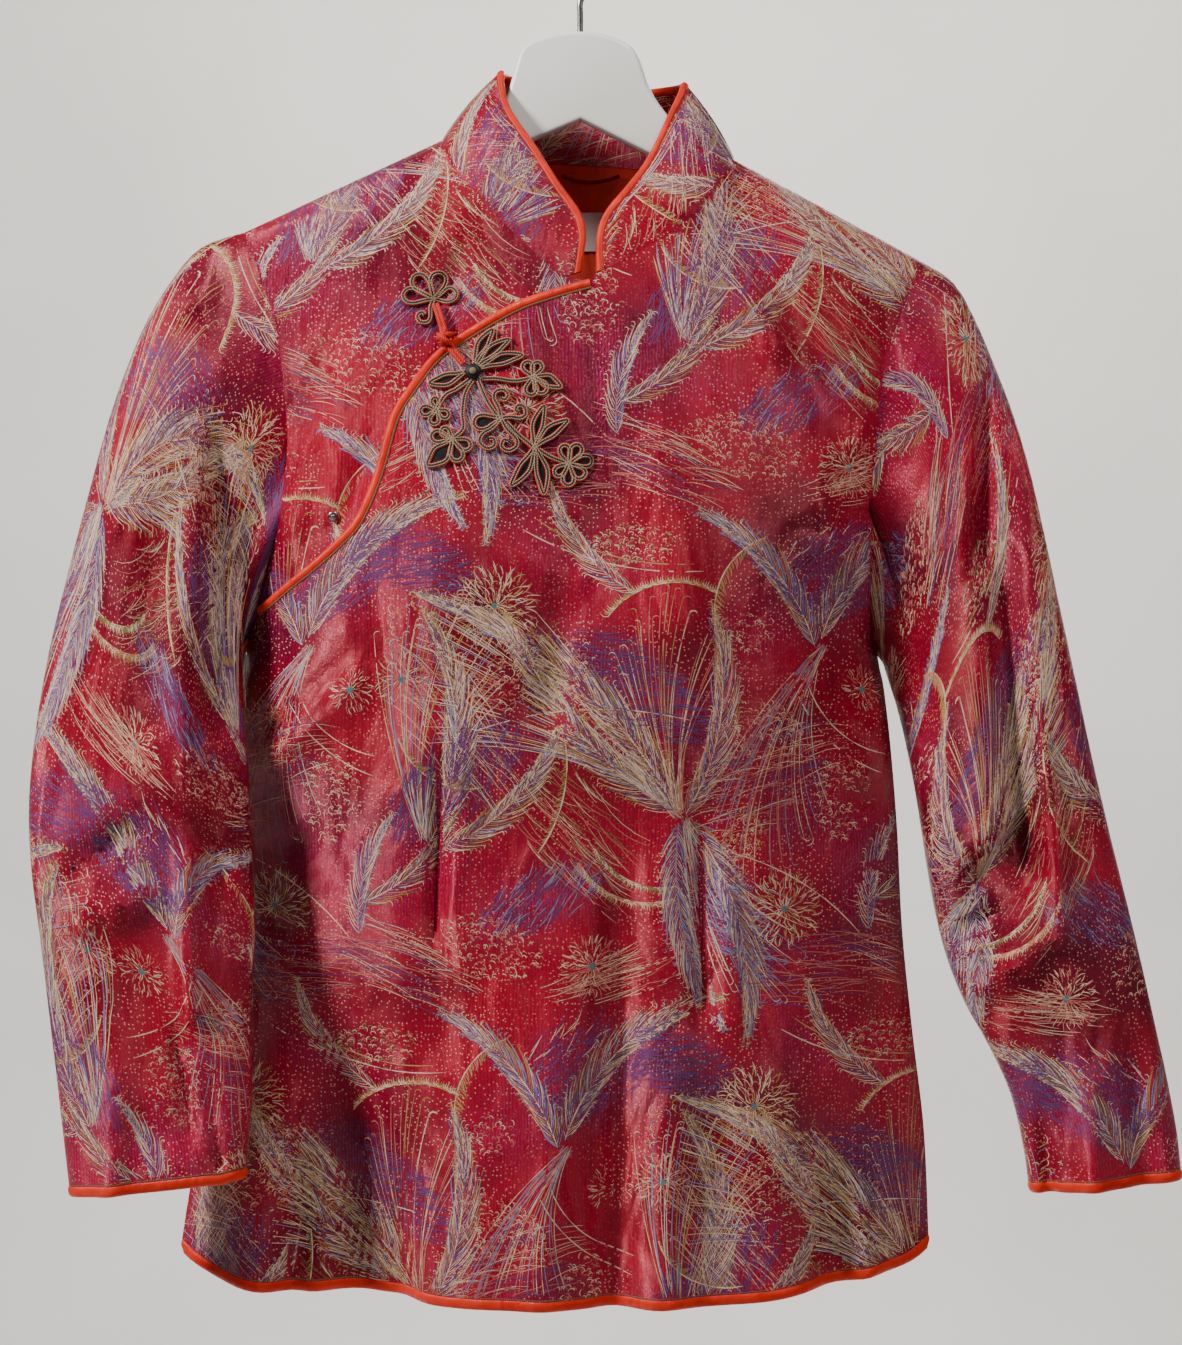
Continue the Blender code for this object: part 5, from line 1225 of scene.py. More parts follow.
def sleeve_threads(name, turned, cut, shift):
    """Print threads round a sleeve tube, left open along its inner seam."""
    cells = SLEEVE_CELLS_ROUND
    grid, girths = even_grid(turned, cells)
    down = -cut[:, 0, 1]
    normals = outward_of(grid[:, :-1])
    normals = np.concatenate([normals, normals[:, :1]], axis=1)
    strokes = spread_print(
        np.array((-girths.max() / 2, -down[-1])), np.array((girths.max() / 2, 0.0)), shift,
    )

    def inside(places):
        girth = np.interp(-places[:, 1], down, girths)
        beside = np.abs(places[:, 0]) < girth / 2 - SLEEVE_CLEAR_SIDE
        below = places[:, 1] < -SLEEVE_CLEAR_END
        return beside & below & (places[:, 1] > -down[-1] + SLEEVE_CLEAR_END)

    path, width, colour = clipped(strokes, inside)
    rows_at = np.interp(-path[..., 1], down, np.arange(len(down)))
    girth = np.interp(-path[..., 1], down, girths)
    cols_at = np.clip((path[..., 0] / girth + 0.5) * cells, 0.0, cells - 1e-6)
    point = on_grid(grid, rows_at, cols_at)
    normal = unit(on_grid(normals, rows_at, cols_at))
    thread_piece(name, point, normal, width, colour)


def collar_threads(name, layer, inner_side, shift):
    """Print threads on one face of the collar band."""
    arc = run_lengths(layer[0])
    height = np.linalg.norm(layer - layer[:1], axis=2)
    normals = unit(np.cross(np.gradient(layer, axis=1), np.gradient(layer, axis=0)))
    if ((normals * (layer - layer.mean(axis=(0, 1)))).sum() < 0) != inner_side:
        normals = -normals
    strokes = spread_print(np.array((0.0, 0.0)), np.array((arc[-1], height.max())), shift)

    def inside(places):
        top = np.interp(places[:, 0], arc, height[-1])
        between_ends = (places[:, 0] > COLLAR_CLEAR_END) & (places[:, 0] < arc[-1] - COLLAR_CLEAR_END)
        return between_ends & (places[:, 1] > COLLAR_CLEAR_FOOT) & (places[:, 1] < top - COLLAR_CLEAR_TOP)

    path, width, colour = clipped(strokes, inside)
    cols_at = np.interp(path[..., 0], arc, np.arange(len(arc)))
    top = np.interp(path[..., 0], arc, height[-1])
    rows_at = path[..., 1] / np.maximum(top, 0.1) * (len(height) - 1)
    point = on_grid(layer, rows_at, cols_at)
    normal = unit(on_grid(normals, rows_at, cols_at))
    thread_piece(name, point, normal, width, colour)


# Materials
def new_finish(name, base, roughness, metallic=0.0, sheen=0.0, specular=0.5, gleam=(1.0, 1.0, 1.0)):
    """A material with a Principled shader; base colour in linear values."""
    material = bpy.data.materials.new(name + "_finish")
    FINISHES[name] = material
    material.use_nodes = True
    nodes = material.node_tree.nodes
    shader = nodes["Principled BSDF"]
    shader.inputs["Base Color"].default_value = (*base, 1.0)
    shader.inputs["Roughness"].default_value = roughness
    shader.inputs["Metallic"].default_value = metallic
    shader.inputs["Sheen Weight"].default_value = sheen
    shader.inputs["Specular IOR Level"].default_value = specular
    shader.inputs["Specular Tint"].default_value = (*gleam, 1.0)
    material.diffuse_color = (*base, 1.0)
    return nodes, material.node_tree.links, shader


def new_group(name, inputs, outputs):
    """A node group with float, colour or vector sockets given as (name, kind, value)."""
    group = bpy.data.node_groups.new(name, "ShaderNodeTree")
    for label, kind, value in inputs:
        socket = group.interface.new_socket(label, in_out="INPUT", socket_type="NodeSocket" + kind)
        if value is not None:
            socket.default_value = value
    for label, kind in outputs:
        group.interface.new_socket(label, in_out="OUTPUT", socket_type="NodeSocket" + kind)
    nodes = group.nodes
    return group, nodes, group.links, nodes.new("NodeGroupInput"), nodes.new("NodeGroupOutput")


def noise_node(nodes, links, vector, scale, detail=3.0, roughness=0.55):
    node = nodes.new("ShaderNodeTexNoise")
    node.inputs["Scale"].default_value = scale
    node.inputs["Detail"].default_value = detail
    node.inputs["Roughness"].default_value = roughness
    links.new(vector, node.inputs["Vector"])
    return node.outputs["Fac"]


def wave_node(nodes, links, vector, bands, scale, distortion=0.0, detail=2.0, detail_scale=1.0):
    node = nodes.new("ShaderNodeTexWave")
    node.bands_direction = bands
    node.inputs["Scale"].default_value = scale
    node.inputs["Distortion"].default_value = distortion
    node.inputs["Detail"].default_value = detail
    node.inputs["Detail Scale"].default_value = detail_scale
    links.new(vector, node.inputs["Vector"])
    return node.outputs["Fac"]


def range_node(nodes, links, value, low, high, to_low=0.0, to_high=1.0):
    node = nodes.new("ShaderNodeMapRange")
    for socket, number in (("From Min", low), ("From Max", high), ("To Min", to_low), ("To Max", to_high)):
        node.inputs[socket].default_value = number
    links.new(value, node.inputs["Value"])
    return node.outputs["Result"]


def math_node(nodes, links, work, first, second):
    node = nodes.new("ShaderNodeMath")
    node.operation = work
    for number, value in enumerate((first, second)):
        if isinstance(value, (int, float)):
            node.inputs[number].default_value = value
        else:
            links.new(value, node.inputs[number])
    return node.outputs["Value"]


def mix_node(nodes, links, share, first, second):
    """Mixed colour; first and second are sockets or linear colours."""
    node = nodes.new("ShaderNodeMix")
    node.data_type = "RGBA"
    if isinstance(share, float):
        node.inputs["Factor"].default_value = share
    else:
        links.new(share, node.inputs["Factor"])
    for number, value in ((6, first), (7, second)):
        if isinstance(value, tuple):
            node.inputs[number].default_value = (*value, 1.0)
        else:
            links.new(value, node.inputs[number])
    return node.outputs[2]


def bump_node(nodes, links, shader, height, distance, strength=1.0, before=None):
    node = nodes.new("ShaderNodeBump")
    node.inputs["Distance"].default_value = distance
    node.inputs["Strength"].default_value = strength
    links.new(height, node.inputs["Height"])
    if before is not None:
        links.new(before, node.inputs["Normal"])
    links.new(node.outputs["Normal"], shader.inputs["Normal"])
    return node.outputs["Normal"]


def group_node(nodes, links, group, vector, **values):
    node = nodes.new("ShaderNodeGroup")
    node.node_tree = group
    links.new(vector, node.inputs["Vector"])
    for label, value in values.items():
        node.inputs[label].default_value = value
    return node.outputs


def coordinates(nodes, uv_map=None):
    if uv_map is None:
        return nodes.new("ShaderNodeTexCoord").outputs["Object"]
    node = nodes.new("ShaderNodeUVMap")
    node.uv_map = uv_map
    return node.outputs["UV"]


def make_groups():
    """Shared patterns: woven dots, satin weave and soft puckers."""
    dots, nodes, links, entry, leave = new_group(
        "woven_dots",
        [
            ("Vector", "Vector", None), ("Per Metre", "Float", 300.0), ("Size", "Float", 0.16),
            ("Share", "Float", 0.6),
        ],
        [("Mask", "Float"), ("Pick", "Float")],
    )
    cells = nodes.new("ShaderNodeTexVoronoi")
    cells.voronoi_dimensions = "2D"
    links.new(entry.outputs["Vector"], cells.inputs["Vector"])
    links.new(entry.outputs["Per Metre"], cells.inputs["Scale"])
    colour = nodes.new("ShaderNodeSeparateColor")
    links.new(cells.outputs["Color"], colour.inputs["Color"])
    near = math_node(nodes, links, "LESS_THAN", cells.outputs["Distance"], entry.outputs["Size"])
    kept = math_node(nodes, links, "LESS_THAN", colour.outputs[0], entry.outputs["Share"])
    links.new(math_node(nodes, links, "MULTIPLY", near, kept), leave.inputs["Mask"])
    links.new(colour.outputs[1], leave.inputs["Pick"])

    weave, nodes, links, entry, leave = new_group(
        "satin_weave", [("Vector", "Vector", None), ("Per Metre", "Float", 900.0)], [("Height", "Float")]
    )
    wave = nodes.new("ShaderNodeTexWave")
    wave.bands_direction = "Y"
    wave.inputs["Distortion"].default_value = 0.6
    wave.inputs["Detail"].default_value = 1.0
    links.new(entry.outputs["Vector"], wave.inputs["Vector"])
    links.new(entry.outputs["Per Metre"], wave.inputs["Scale"])
    links.new(wave.outputs["Fac"], leave.inputs["Height"])

    pucker, nodes, links, entry, leave = new_group(
        "cloth_puckers", [("Vector", "Vector", None), ("Per Metre", "Float", 19.0)], [("Height", "Float")]
    )
    stretched = nodes.new("ShaderNodeVectorMath")
    stretched.operation = "MULTIPLY"
    stretched.inputs[1].default_value = (1.0, 1.0, 0.45)
    links.new(entry.outputs["Vector"], stretched.inputs[0])
    node = nodes.new("ShaderNodeTexNoise")
    node.inputs["Detail"].default_value = 2.5
    node.inputs["Roughness"].default_value = 0.5
    node.inputs["Distortion"].default_value = 0.4
    links.new(stretched.outputs["Vector"], node.inputs["Vector"])
    links.new(entry.outputs["Per Metre"], node.inputs["Scale"])
    links.new(node.outputs["Fac"], leave.inputs["Height"])
    return dots, weave, pucker


def make_brocade(dots, weave, pucker):
    """Crimson satin with woven dots, violet hatching in tinted zones and a fine weave; its ground is painted
    lighter and darker in broad patches that stand for the light and shade of folds.
    """
    nodes, links, shader = new_finish("brocade", (0.28, 0.004, 0.016), 0.36, gleam=(1.0, 0.22, 0.26))
    cut = coordinates(nodes, "cut")
    here = coordinates(nodes)
    # Painted light and shade: broad patches of darker and lighter ground stand in for the shading of the
    # folds
    broad = range_node(nodes, links, noise_node(nodes, links, here, 11.0), 0.35, 0.68)
    ground = mix_node(nodes, links, broad, (0.10, 0.001, 0.012), (0.46, 0.003, 0.026))
    fine = range_node(nodes, links, noise_node(nodes, links, here, 260.0, 2.0), 0.3, 0.75, 0.0, 0.4)
    ground = mix_node(nodes, links, fine, ground, (0.20, 0.006, 0.018))
    rib = wave_node(nodes, links, cut, "X", 150.0, 14.0, 1.0, 0.12)
    ribs = range_node(nodes, links, rib, 0.3, 0.8, 0.0, 0.5)
    ribs = math_node(nodes, links, "MULTIPLY", ribs, broad)
    ground = mix_node(nodes, links, ribs, ground, (0.13, 0.002, 0.010))
    tint = nodes.new("ShaderNodeAttribute")
    tint.attribute_name = "tint"
    hatch_way = wave_node(nodes, links, cut, "X", 170.0, 9.0, 2.0, 0.25)
    hatch = range_node(nodes, links, hatch_way, 0.35, 0.75)
    flecks = range_node(nodes, links, noise_node(nodes, links, here, 420.0, 2.0, 0.6), 0.35, 0.6)
    share = math_node(nodes, links, "MULTIPLY", hatch, flecks)
    share = math_node(nodes, links, "MULTIPLY", share, tint.outputs["Alpha"])
    ground = mix_node(nodes, links, share, ground, tint.outputs["Color"])
    stipple = group_node(nodes, links, dots, cut, Size=0.165, Share=0.6)
    stipple[0].node.inputs["Per Metre"].default_value = 400.0
    clusters = range_node(nodes, links, noise_node(nodes, links, here, 24.0, 2.0), 0.40, 0.56, 0.12, 0.9)
    spot = math_node(nodes, links, "MULTIPLY", stipple["Mask"], clusters)
    spot_colour = mix_node(nodes, links, stipple["Pick"], (0.70, 0.40, 0.28), (0.68, 0.22, 0.18))
    ground = mix_node(nodes, links, spot, ground, spot_colour)
    links.new(ground, shader.inputs["Base Color"])
    gloss = range_node(nodes, links, noise_node(nodes, links, here, 90.0, 3.0), 0.3, 0.7, 0.24, 0.36)
    links.new(gloss, shader.inputs["Roughness"])
    fold = group_node(nodes, links, pucker, here)["Height"]
    first = bump_node(nodes, links, shader, fold, 0.018, 1.0)
    weave_node = group_node(nodes, links, weave, cut)
    small = math_node(nodes, links, "ADD", weave_node["Height"], flecks)
    bump_node(nodes, links, shader, small, 0.00018, 0.5, first)


def make_threads():
    """Woven plume threads; their colour stands in eight columns of their own map."""
    nodes, links, shader = new_finish(
        "plume_thread", (0.6, 0.5, 0.36), 0.5, specular=0.16, gleam=(1.0, 0.8, 0.7),
    )
    map_place = coordinates(nodes, "OFBake")
    split = nodes.new("ShaderNodeSeparateXYZ")
    links.new(map_place, split.inputs["Vector"])
    ramp = nodes.new("ShaderNodeValToRGB")
    ramp.color_ramp.interpolation = "CONSTANT"
    stops = ramp.color_ramp.elements
    while len(stops) < len(THREAD_COLOURS):
        stops.new(len(stops) / len(THREAD_COLOURS))
    for number, colour in enumerate(THREAD_COLOURS):
        stops[number].position = number / len(THREAD_COLOURS)
        stops[number].color = (*colour, 1.0)
    links.new(split.outputs["X"], ramp.inputs["Fac"])
    here = coordinates(nodes)
    worn = range_node(nodes, links, noise_node(nodes, links, here, 700.0, 2.0), 0.3, 0.7, 0.0, 0.4)
    colour = mix_node(nodes, links, worn, ramp.outputs["Color"], (0.30, 0.03, 0.03))
    links.new(colour, shader.inputs["Base Color"])
    twist = wave_node(nodes, links, here, "DIAGONAL", 700.0)
    bump_node(nodes, links, shader, twist, 0.0002, 0.4)


def make_satin(name, dark, light, weave, pucker):
    nodes, links, shader = new_finish(name, light, 0.4, specular=0.35, gleam=(1.0, 0.45, 0.35))
    here = coordinates(nodes)
    cut = coordinates(nodes, "cut")
    broad = range_node(nodes, links, noise_node(nodes, links, here, 45.0), 0.35, 0.65)
    links.new(mix_node(nodes, links, broad, dark, light), shader.inputs["Base Color"])
    gloss = range_node(nodes, links, noise_node(nodes, links, here, 160.0), 0.3, 0.7, 0.28, 0.44)
    links.new(gloss, shader.inputs["Roughness"])
    soft = group_node(nodes, links, pucker, here)
    soft[0].node.inputs["Per Metre"].default_value = 110.0
    first = bump_node(nodes, links, shader, soft["Height"], 0.0022, 0.8)
    weave_out = group_node(nodes, links, weave, cut)
    bump_node(nodes, links, shader, weave_out["Height"], 0.00012, 0.4, first)


def make_cord_finish(name, dark, light, per_metre):
    """Braided cord: slanting strands along the cord's own map, painted darker in the hollows between the
    strands as their shade.
    """
    nodes, links, shader = new_finish(name, light, 0.55, specular=0.25)
    cut = coordinates(nodes, "cut")
    strands = wave_node(nodes, links, cut, "DIAGONAL", per_metre, 0.8)
    # Painted shade: the colour sinks to the dark one in the hollows between strands, where the bump is lowest
    share = range_node(nodes, links, strands, 0.2, 0.8)
    links.new(mix_node(nodes, links, share, dark, light), shader.inputs["Base Color"])
    bump_node(nodes, links, shader, strands, 0.0003, 0.7)


def make_plain(name, dark, light, roughness, scale, distance, metallic=0.0, specular=0.5):
    """Evenly coloured stuff with faint mottling and a faint grain."""
    nodes, links, shader = new_finish(name, light, roughness, metallic, specular=specular)
    here = coordinates(nodes)
    mottle = range_node(nodes, links, noise_node(nodes, links, here, scale), 0.3, 0.7)
    links.new(mix_node(nodes, links, mottle, dark, light), shader.inputs["Base Color"])
    gloss = noise_node(nodes, links, here, scale * 3.0)
    gloss = range_node(nodes, links, gloss, 0.3, 0.7, roughness - 0.06, roughness + 0.08)
    links.new(gloss, shader.inputs["Roughness"])
    grain = noise_node(nodes, links, here, scale * 12.0)
    bump_node(nodes, links, shader, grain, distance, 0.4)


def make_finishes():
    dots, weave, pucker = make_groups()
    make_brocade(dots, weave, pucker)
    make_threads()
    make_satin("satin_binding", (0.50, 0.016, 0.008), (0.68, 0.030, 0.013), weave, pucker)
    make_satin("lining", (0.78, 0.060, 0.044), (0.90, 0.10, 0.07), weave, pucker)
    make_cord_finish("cord", (0.20, 0.12, 0.07), (0.46, 0.31, 0.20), 420.0)
    # Near-black finish of the groove tube: painted shade in the groove of the double cord
    make_cord_finish("painted_groove_shade", (0.008, 0.006, 0.008), (0.030, 0.022, 0.022), 420.0)
    make_cord_finish("edge_cord", (0.05, 0.020, 0.012), (0.26, 0.14, 0.06), 500.0)
    make_cord_finish("red_cord", (0.38, 0.010, 0.006), (0.62, 0.024, 0.010), 380.0)
    make_plain("black_satin", (0.004, 0.003, 0.005), (0.014, 0.011, 0.014), 0.5, 300.0, 0.0002, specular=0.2)
    make_plain("label", (0.84, 0.81, 0.75), (0.92, 0.90, 0.85), 0.75, 500.0, 0.0002)
    make_plain("plastic", (0.80, 0.79, 0.75), (0.86, 0.85, 0.81), 0.34, 16.0, 0.00008)
    make_plain("steel", (0.22, 0.21, 0.20), (0.34, 0.33, 0.32), 0.26, 120.0, 0.00006, metallic=1.0)
    make_plain("backdrop", (0.66, 0.66, 0.68), (0.74, 0.74, 0.76), 0.85, 1.4, 0.0004)


# Small parts of the closure, inside neck and hanger
def rings_on(dense, radius, lift, surface, squash=1.0, sides=8, closed=False, offset=0.0):
    """Rings of a cord that lies on the cloth along x, z points, its foot at the given lift."""
    point, normal = skin(surface, dense[:, 0], dense[:, 1])
    if closed:
        along = unit(np.roll(point, -1, axis=0) - np.roll(point, 1, axis=0))
    else:
        along = unit(np.gradient(point, axis=0))
    side = unit(np.cross(along, normal))
    centre = point + normal * (lift + radius * squash) + side * offset
    return oval_rings((centre, side, normal), radius * 2, radius * 2 * squash, sides)


def joined_tubes(name, tubes, material, slot, replaced=()):
    """Several swept rods in one mesh; each tube is (rings, closed)."""
    build = bmesh.new()
    layer = build.loops.layers.uv.new("cut")
    station = build.verts.layers.int.new("station")
    for rings, closed in tubes:
        sides = rings.shape[1]
        girth = np.linalg.norm(rings[0] - np.roll(rings[0], 1, axis=0), axis=1).sum()
        if closed:
            rings = np.concatenate([rings, rings[:1]])
        rings = np.concatenate([rings, rings[:, :1]], axis=1)
        length = run_lengths(rings.mean(axis=1))
        made = bmesh.ops.create_grid(build, x_segments=sides, y_segments=len(rings) - 1, size=1.0)["verts"]
        faces = set()
        for number, (vertex, place) in enumerate(zip(made, rings.reshape(-1, 3) * MM)):
            vertex.co = place
            vertex[station] = number
            faces.update(vertex.link_faces)
        for face in faces:
            for loop in face.loops:
                row, side = divmod(loop.vert[station], sides + 1)
                loop[layer].uv = (side / sides * girth * MM, length[row] * MM)
    close_ends(build)
    bmesh.ops.recalc_face_normals(build, faces=build.faces)
    declared(finished(name, build, [material], 60.0), slot, *replaced)


# Outlines of a petal and a leaf: share along, share of the half width
PETAL_SHAPE = ((0.0, 0.05), (0.30, 0.52), (0.62, 1.0), (0.88, 0.82), (1.0, 0.0))
LEAF_SHAPE = ((0.0, 0.05), (0.22, 0.45), (0.5, 1.0), (0.76, 0.72), (1.0, 0.0))
CURL_SHAPE = (
    (0.0, 0.0), (0.35, 0.10), (0.68, 0.30), (0.92, 0.26), (1.0, 0.0), (0.84, -0.17), (0.66, -0.08),
    (0.70, 0.06),
)


def axes_of(direction):
    """Unit vectors along a direction in degrees and to its left."""
    turn = math.radians(direction)
    return np.array((math.cos(turn), math.sin(turn))), np.array((-math.sin(turn), math.cos(turn)))


def leaf_outline(root, direction, length, width, shape, bend=0.0):
    """Closed outline of a petal or leaf from its root; bend moves its middle sideways."""
    along, cross = axes_of(direction)
    up, down = [], []
    for share, side in shape:
        middle = np.array(root) + (along * share + cross * bend * 4 * share * (1 - share)) * length
        up.append(middle + cross * length * width * side)
        down.append(middle - cross * length * width * side)
    return up + down[::-1][1:]


def curl(root, direction, length, side):
    """Open cord path that runs out and rolls in at its end."""
    along, cross = axes_of(direction)
    return [np.array(root) + (along * share + cross * side * away) * length for share, away in CURL_SHAPE]


# Frog cords: kind, root (x, z), direction in degrees, length, width share or side
UPPER_CORDS = (
    ("petal", (-84.9, -228.9), 127, 16.9, 0.27), ("petal", (-84.9, -228.9), 74, 16.0, 0.27),
    ("petal", (-84.9, -228.9), 11, 15.2, 0.27), ("petal", (-84.9, -228.9), 172, 17.0, 0.25),
    ("curl", (-84.9, -228.9), 242, 15.3, 1.0),
)
LOWER_CORDS = (
    ("leaf", (-59.9, -267.9), 62, 22.1, 0.135), ("leaf", (-58.6, -269.6), 40, 24.2, 0.12),
    ("leaf", (-56.4, -270.6), 17, 25.2, 0.12), ("leaf", (-65.6, -273.1), 197, 21.1, 0.15),
    ("petal", (-81.5, -294.8), 186, 9.3, 0.30), ("petal", (-81.5, -294.8), 329, 8.0, 0.30),
    ("petal", (-81.5, -294.8), 258, 8.8, 0.30), ("petal", (-81.5, -294.8), 100, 7.0, 0.28),
    ("petal", (-72.4, -312.1), 169, 12.2, 0.27), ("leaf", (-72.4, -312.1), 227, 20.4, 0.24),
    ("petal", (-72.4, -312.1), 287, 13.1, 0.27), ("petal", (-72.4, -312.1), 336, 11.6, 0.27),
    ("petal", (-72.4, -312.1), 132, 8.5, 0.28),
    ("curl", (-44.5, -300.1), 85, 16.5, 1.0), ("curl", (-44.5, -300.1), 25, 14.9, -1.0),
    ("petal", (-44.5, -300.1), 192, 15.8, 0.26), ("curl", (-44.5, -300.1), 245, 19.1, -1.0),
    ("curl", (-44.5, -300.1), 283, 19.2, 1.0),
    ("petal", (-26.2, -276.0), 117, 9.6, 0.30), ("petal", (-26.2, -276.0), 66, 9.2, 0.30),
    ("leaf", (-26.2, -276.0), 340, 17.1, 0.19), ("petal", (-26.2, -276.0), 262, 10.9, 0.30),
    ("petal", (-26.2, -276.0), 307, 11.4, 0.29),
    ("leaf", (-25.2, -316.4), 77, 24.2, 0.125), ("leaf", (-25.2, -316.4), 39, 24.4, 0.125),
    ("leaf", (-25.2, -316.4), 239, 26.2, 0.12), ("leaf", (-25.2, -316.4), 281, 27.7, 0.12),
    ("petal", (-5.5, -326.1), 108, 11.1, 0.27), ("petal", (-5.5, -326.1), 62, 12.3, 0.26),
    ("petal", (-5.5, -326.1), 10, 12.7, 0.26), ("petal", (-5.5, -326.1), 316, 11.5, 0.27),
    ("petal", (-5.5, -326.1), 268, 12.7, 0.26), ("petal", (-5.5, -326.1), 219, 10.2, 0.27),
)
LOWER_STEMS = (
    ((-62.8, -277.5), (-70.0, -282.8), (-76.7, -286.6), (-81.5, -294.8)),
    ((-60.8, -278.0), (-65.2, -285.7), (-66.6, -297.2), (-66.1, -305.9), (-71.9, -311.6)),
    ((-57.5, -278.0), (-52.7, -289.5), (-45.9, -299.6)),
    ((-55.5, -277.0), (-46.9, -277.0), (-36.3, -278.4), (-26.7, -276.5)),
    ((-41.6, -302.0), (-35.3, -308.7), (-26.7, -316.0)),
    ((-22.8, -317.9), (-16.1, -322.2), (-6.5, -325.9)),
)
STRAP_PATH = (
    (-83.4, -231.8), (-80.6, -239.5), (-78.6, -246.2), (-77.0, -252.4), (-74.6, -257.6), (-70.8, -262.4),
    (-66.0, -268.6),
)
STRAP_APART = 1.1
STRAP_RADIUS = 1.3
KNOT_CENTRE = (-76.4, -253.6)
KNOT_SWING = 1.2
KNOT_TURNS = ((20, 4.6), (80, 4.4), (140, 4.6))
LEAF_SWAY = 0.05
CORD_RIDGE = 0.36
CORD_PITCH = 1.62
CORD_LIFT = 0.3
RIDGE_LIFT = 1.35

# Groove and foot of the double cord: radius, lift over the cord's own, squash
CORD_GROOVE = (1.14, 0.5, 0.62)
CORD_FOOT = (1.7, 0.0, 0.42)
FILL_LIFT = 0.2
FILL_THICK = 1.1
FROG_CENTRE = (-60.6, -272.9)
SNAP_CENTRE = (-143.2, -354.7)


def cord_paths(cords):
    paths = []
    for kind, root, direction, length, extra in cords:
        if kind == "petal":
            paths.append((leaf_outline(root, direction, length, extra, PETAL_SHAPE), True))
        elif kind == "leaf":
            paths.append((leaf_outline(root, direction, length, extra, LEAF_SHAPE, LEAF_SWAY), True))
        else:
            paths.append((curl(root, direction, length, extra), False))
    return paths


def frog(name, cords, stems, surface, filled, replaced):
    """Double cord: two braided ridges, a near-black tube in the groove between them as painted shade, a satin
    foot, and black satin inside the petals.
    """
    ridges, grooves, feet, fills = [], [], [], []
    paths = cord_paths(cords) + [(stem, False) for stem in stems]
    for path, closed in paths:
        points = np.array(path, float)
        if closed:
            points = np.vstack([points, points[:1]])
        dense = dense_curve(points, 5)
        if closed:
            dense = dense[:-1]
        for offset in (-CORD_PITCH / 2, CORD_PITCH / 2):
            rings = rings_on(dense, CORD_RIDGE, CORD_LIFT + RIDGE_LIFT, surface, 1.0, 6, closed, offset)
            ridges.append((rings, closed))
        for rows, (radius, lift, squash) in ((grooves, CORD_GROOVE), (feet, CORD_FOOT)):
            rows.append((rings_on(dense, radius, CORD_LIFT + lift, surface, squash, 8, closed), closed))
        if closed and filled:
            fills.append(points[:-1])
    joined_tubes(name, ridges, "cord", "cord", replaced)
    # Painted shade: a near-black tube fills the groove between the two ridges
    joined_tubes(name + "_groove", grooves, "painted_groove_shade", "cord")
    joined_tubes(name + "_foot", feet, "satin_binding", "red_cord")
    if fills:
        build = bmesh.new()
        for outline in fills:
            dense = dense_curve(np.vstack([outline, outline[:1]]), 3)[:-1]
            point, normal = skin(surface, dense[:, 0], dense[:, 1])
            floor = build.faces.new([build.verts.new(place) for place in (point + normal * FILL_LIFT) * MM])
            raised = bmesh.ops.extrude_face_region(build, geom=[floor], use_keep_orig=True)
            tops = [item for item in raised["geom"] if isinstance(item, bmesh.types.BMVert)]
            bmesh.ops.translate(build, verts=tops, vec=Vector(normal.mean(axis=0)) * FILL_THICK * MM)
        bmesh.ops.triangulate(build, faces=[face for face in build.faces if len(face.verts) > 4])
        bmesh.ops.recalc_face_normals(build, faces=build.faces)
        declared(finished(name + "_petal_fill", build, ["black_satin"], 40.0), "cord")


def bead(name, place, radius, flatten, lift, surface, material, slot, replaced=(), ring=False):
    """Rounded bead that sits on the cloth, with a lip round it where it is a snap."""
    point, normal = skin(surface, np.array([place[0]]), np.array([place[1]]))
    turn = Vector((0.0, 0.0, 1.0)).rotation_difference(Vector(normal[0])).to_matrix()
    centre = Vector(point[0] + normal[0] * (lift + radius * flatten)) * MM
    build = bmesh.new()
    bmesh.ops.create_uvsphere(build, u_segments=24, v_segments=14, radius=radius * MM)
    for vertex in build.verts:
        vertex.co.z *= flatten
    if ring:
        lip = bmesh.ops.create_uvsphere(build, u_segments=24, v_segments=10, radius=radius * 0.45 * MM)
        for vertex in lip["verts"]:
            vertex.co.z = vertex.co.z * 0.6 + radius * flatten * 0.9 * MM
    for vertex in build.verts:
        vertex.co = turn @ vertex.co + centre
    bmesh.ops.recalc_face_normals(build, faces=build.faces)
    declared(finished(name, build, [material], 60.0), slot, *replaced)


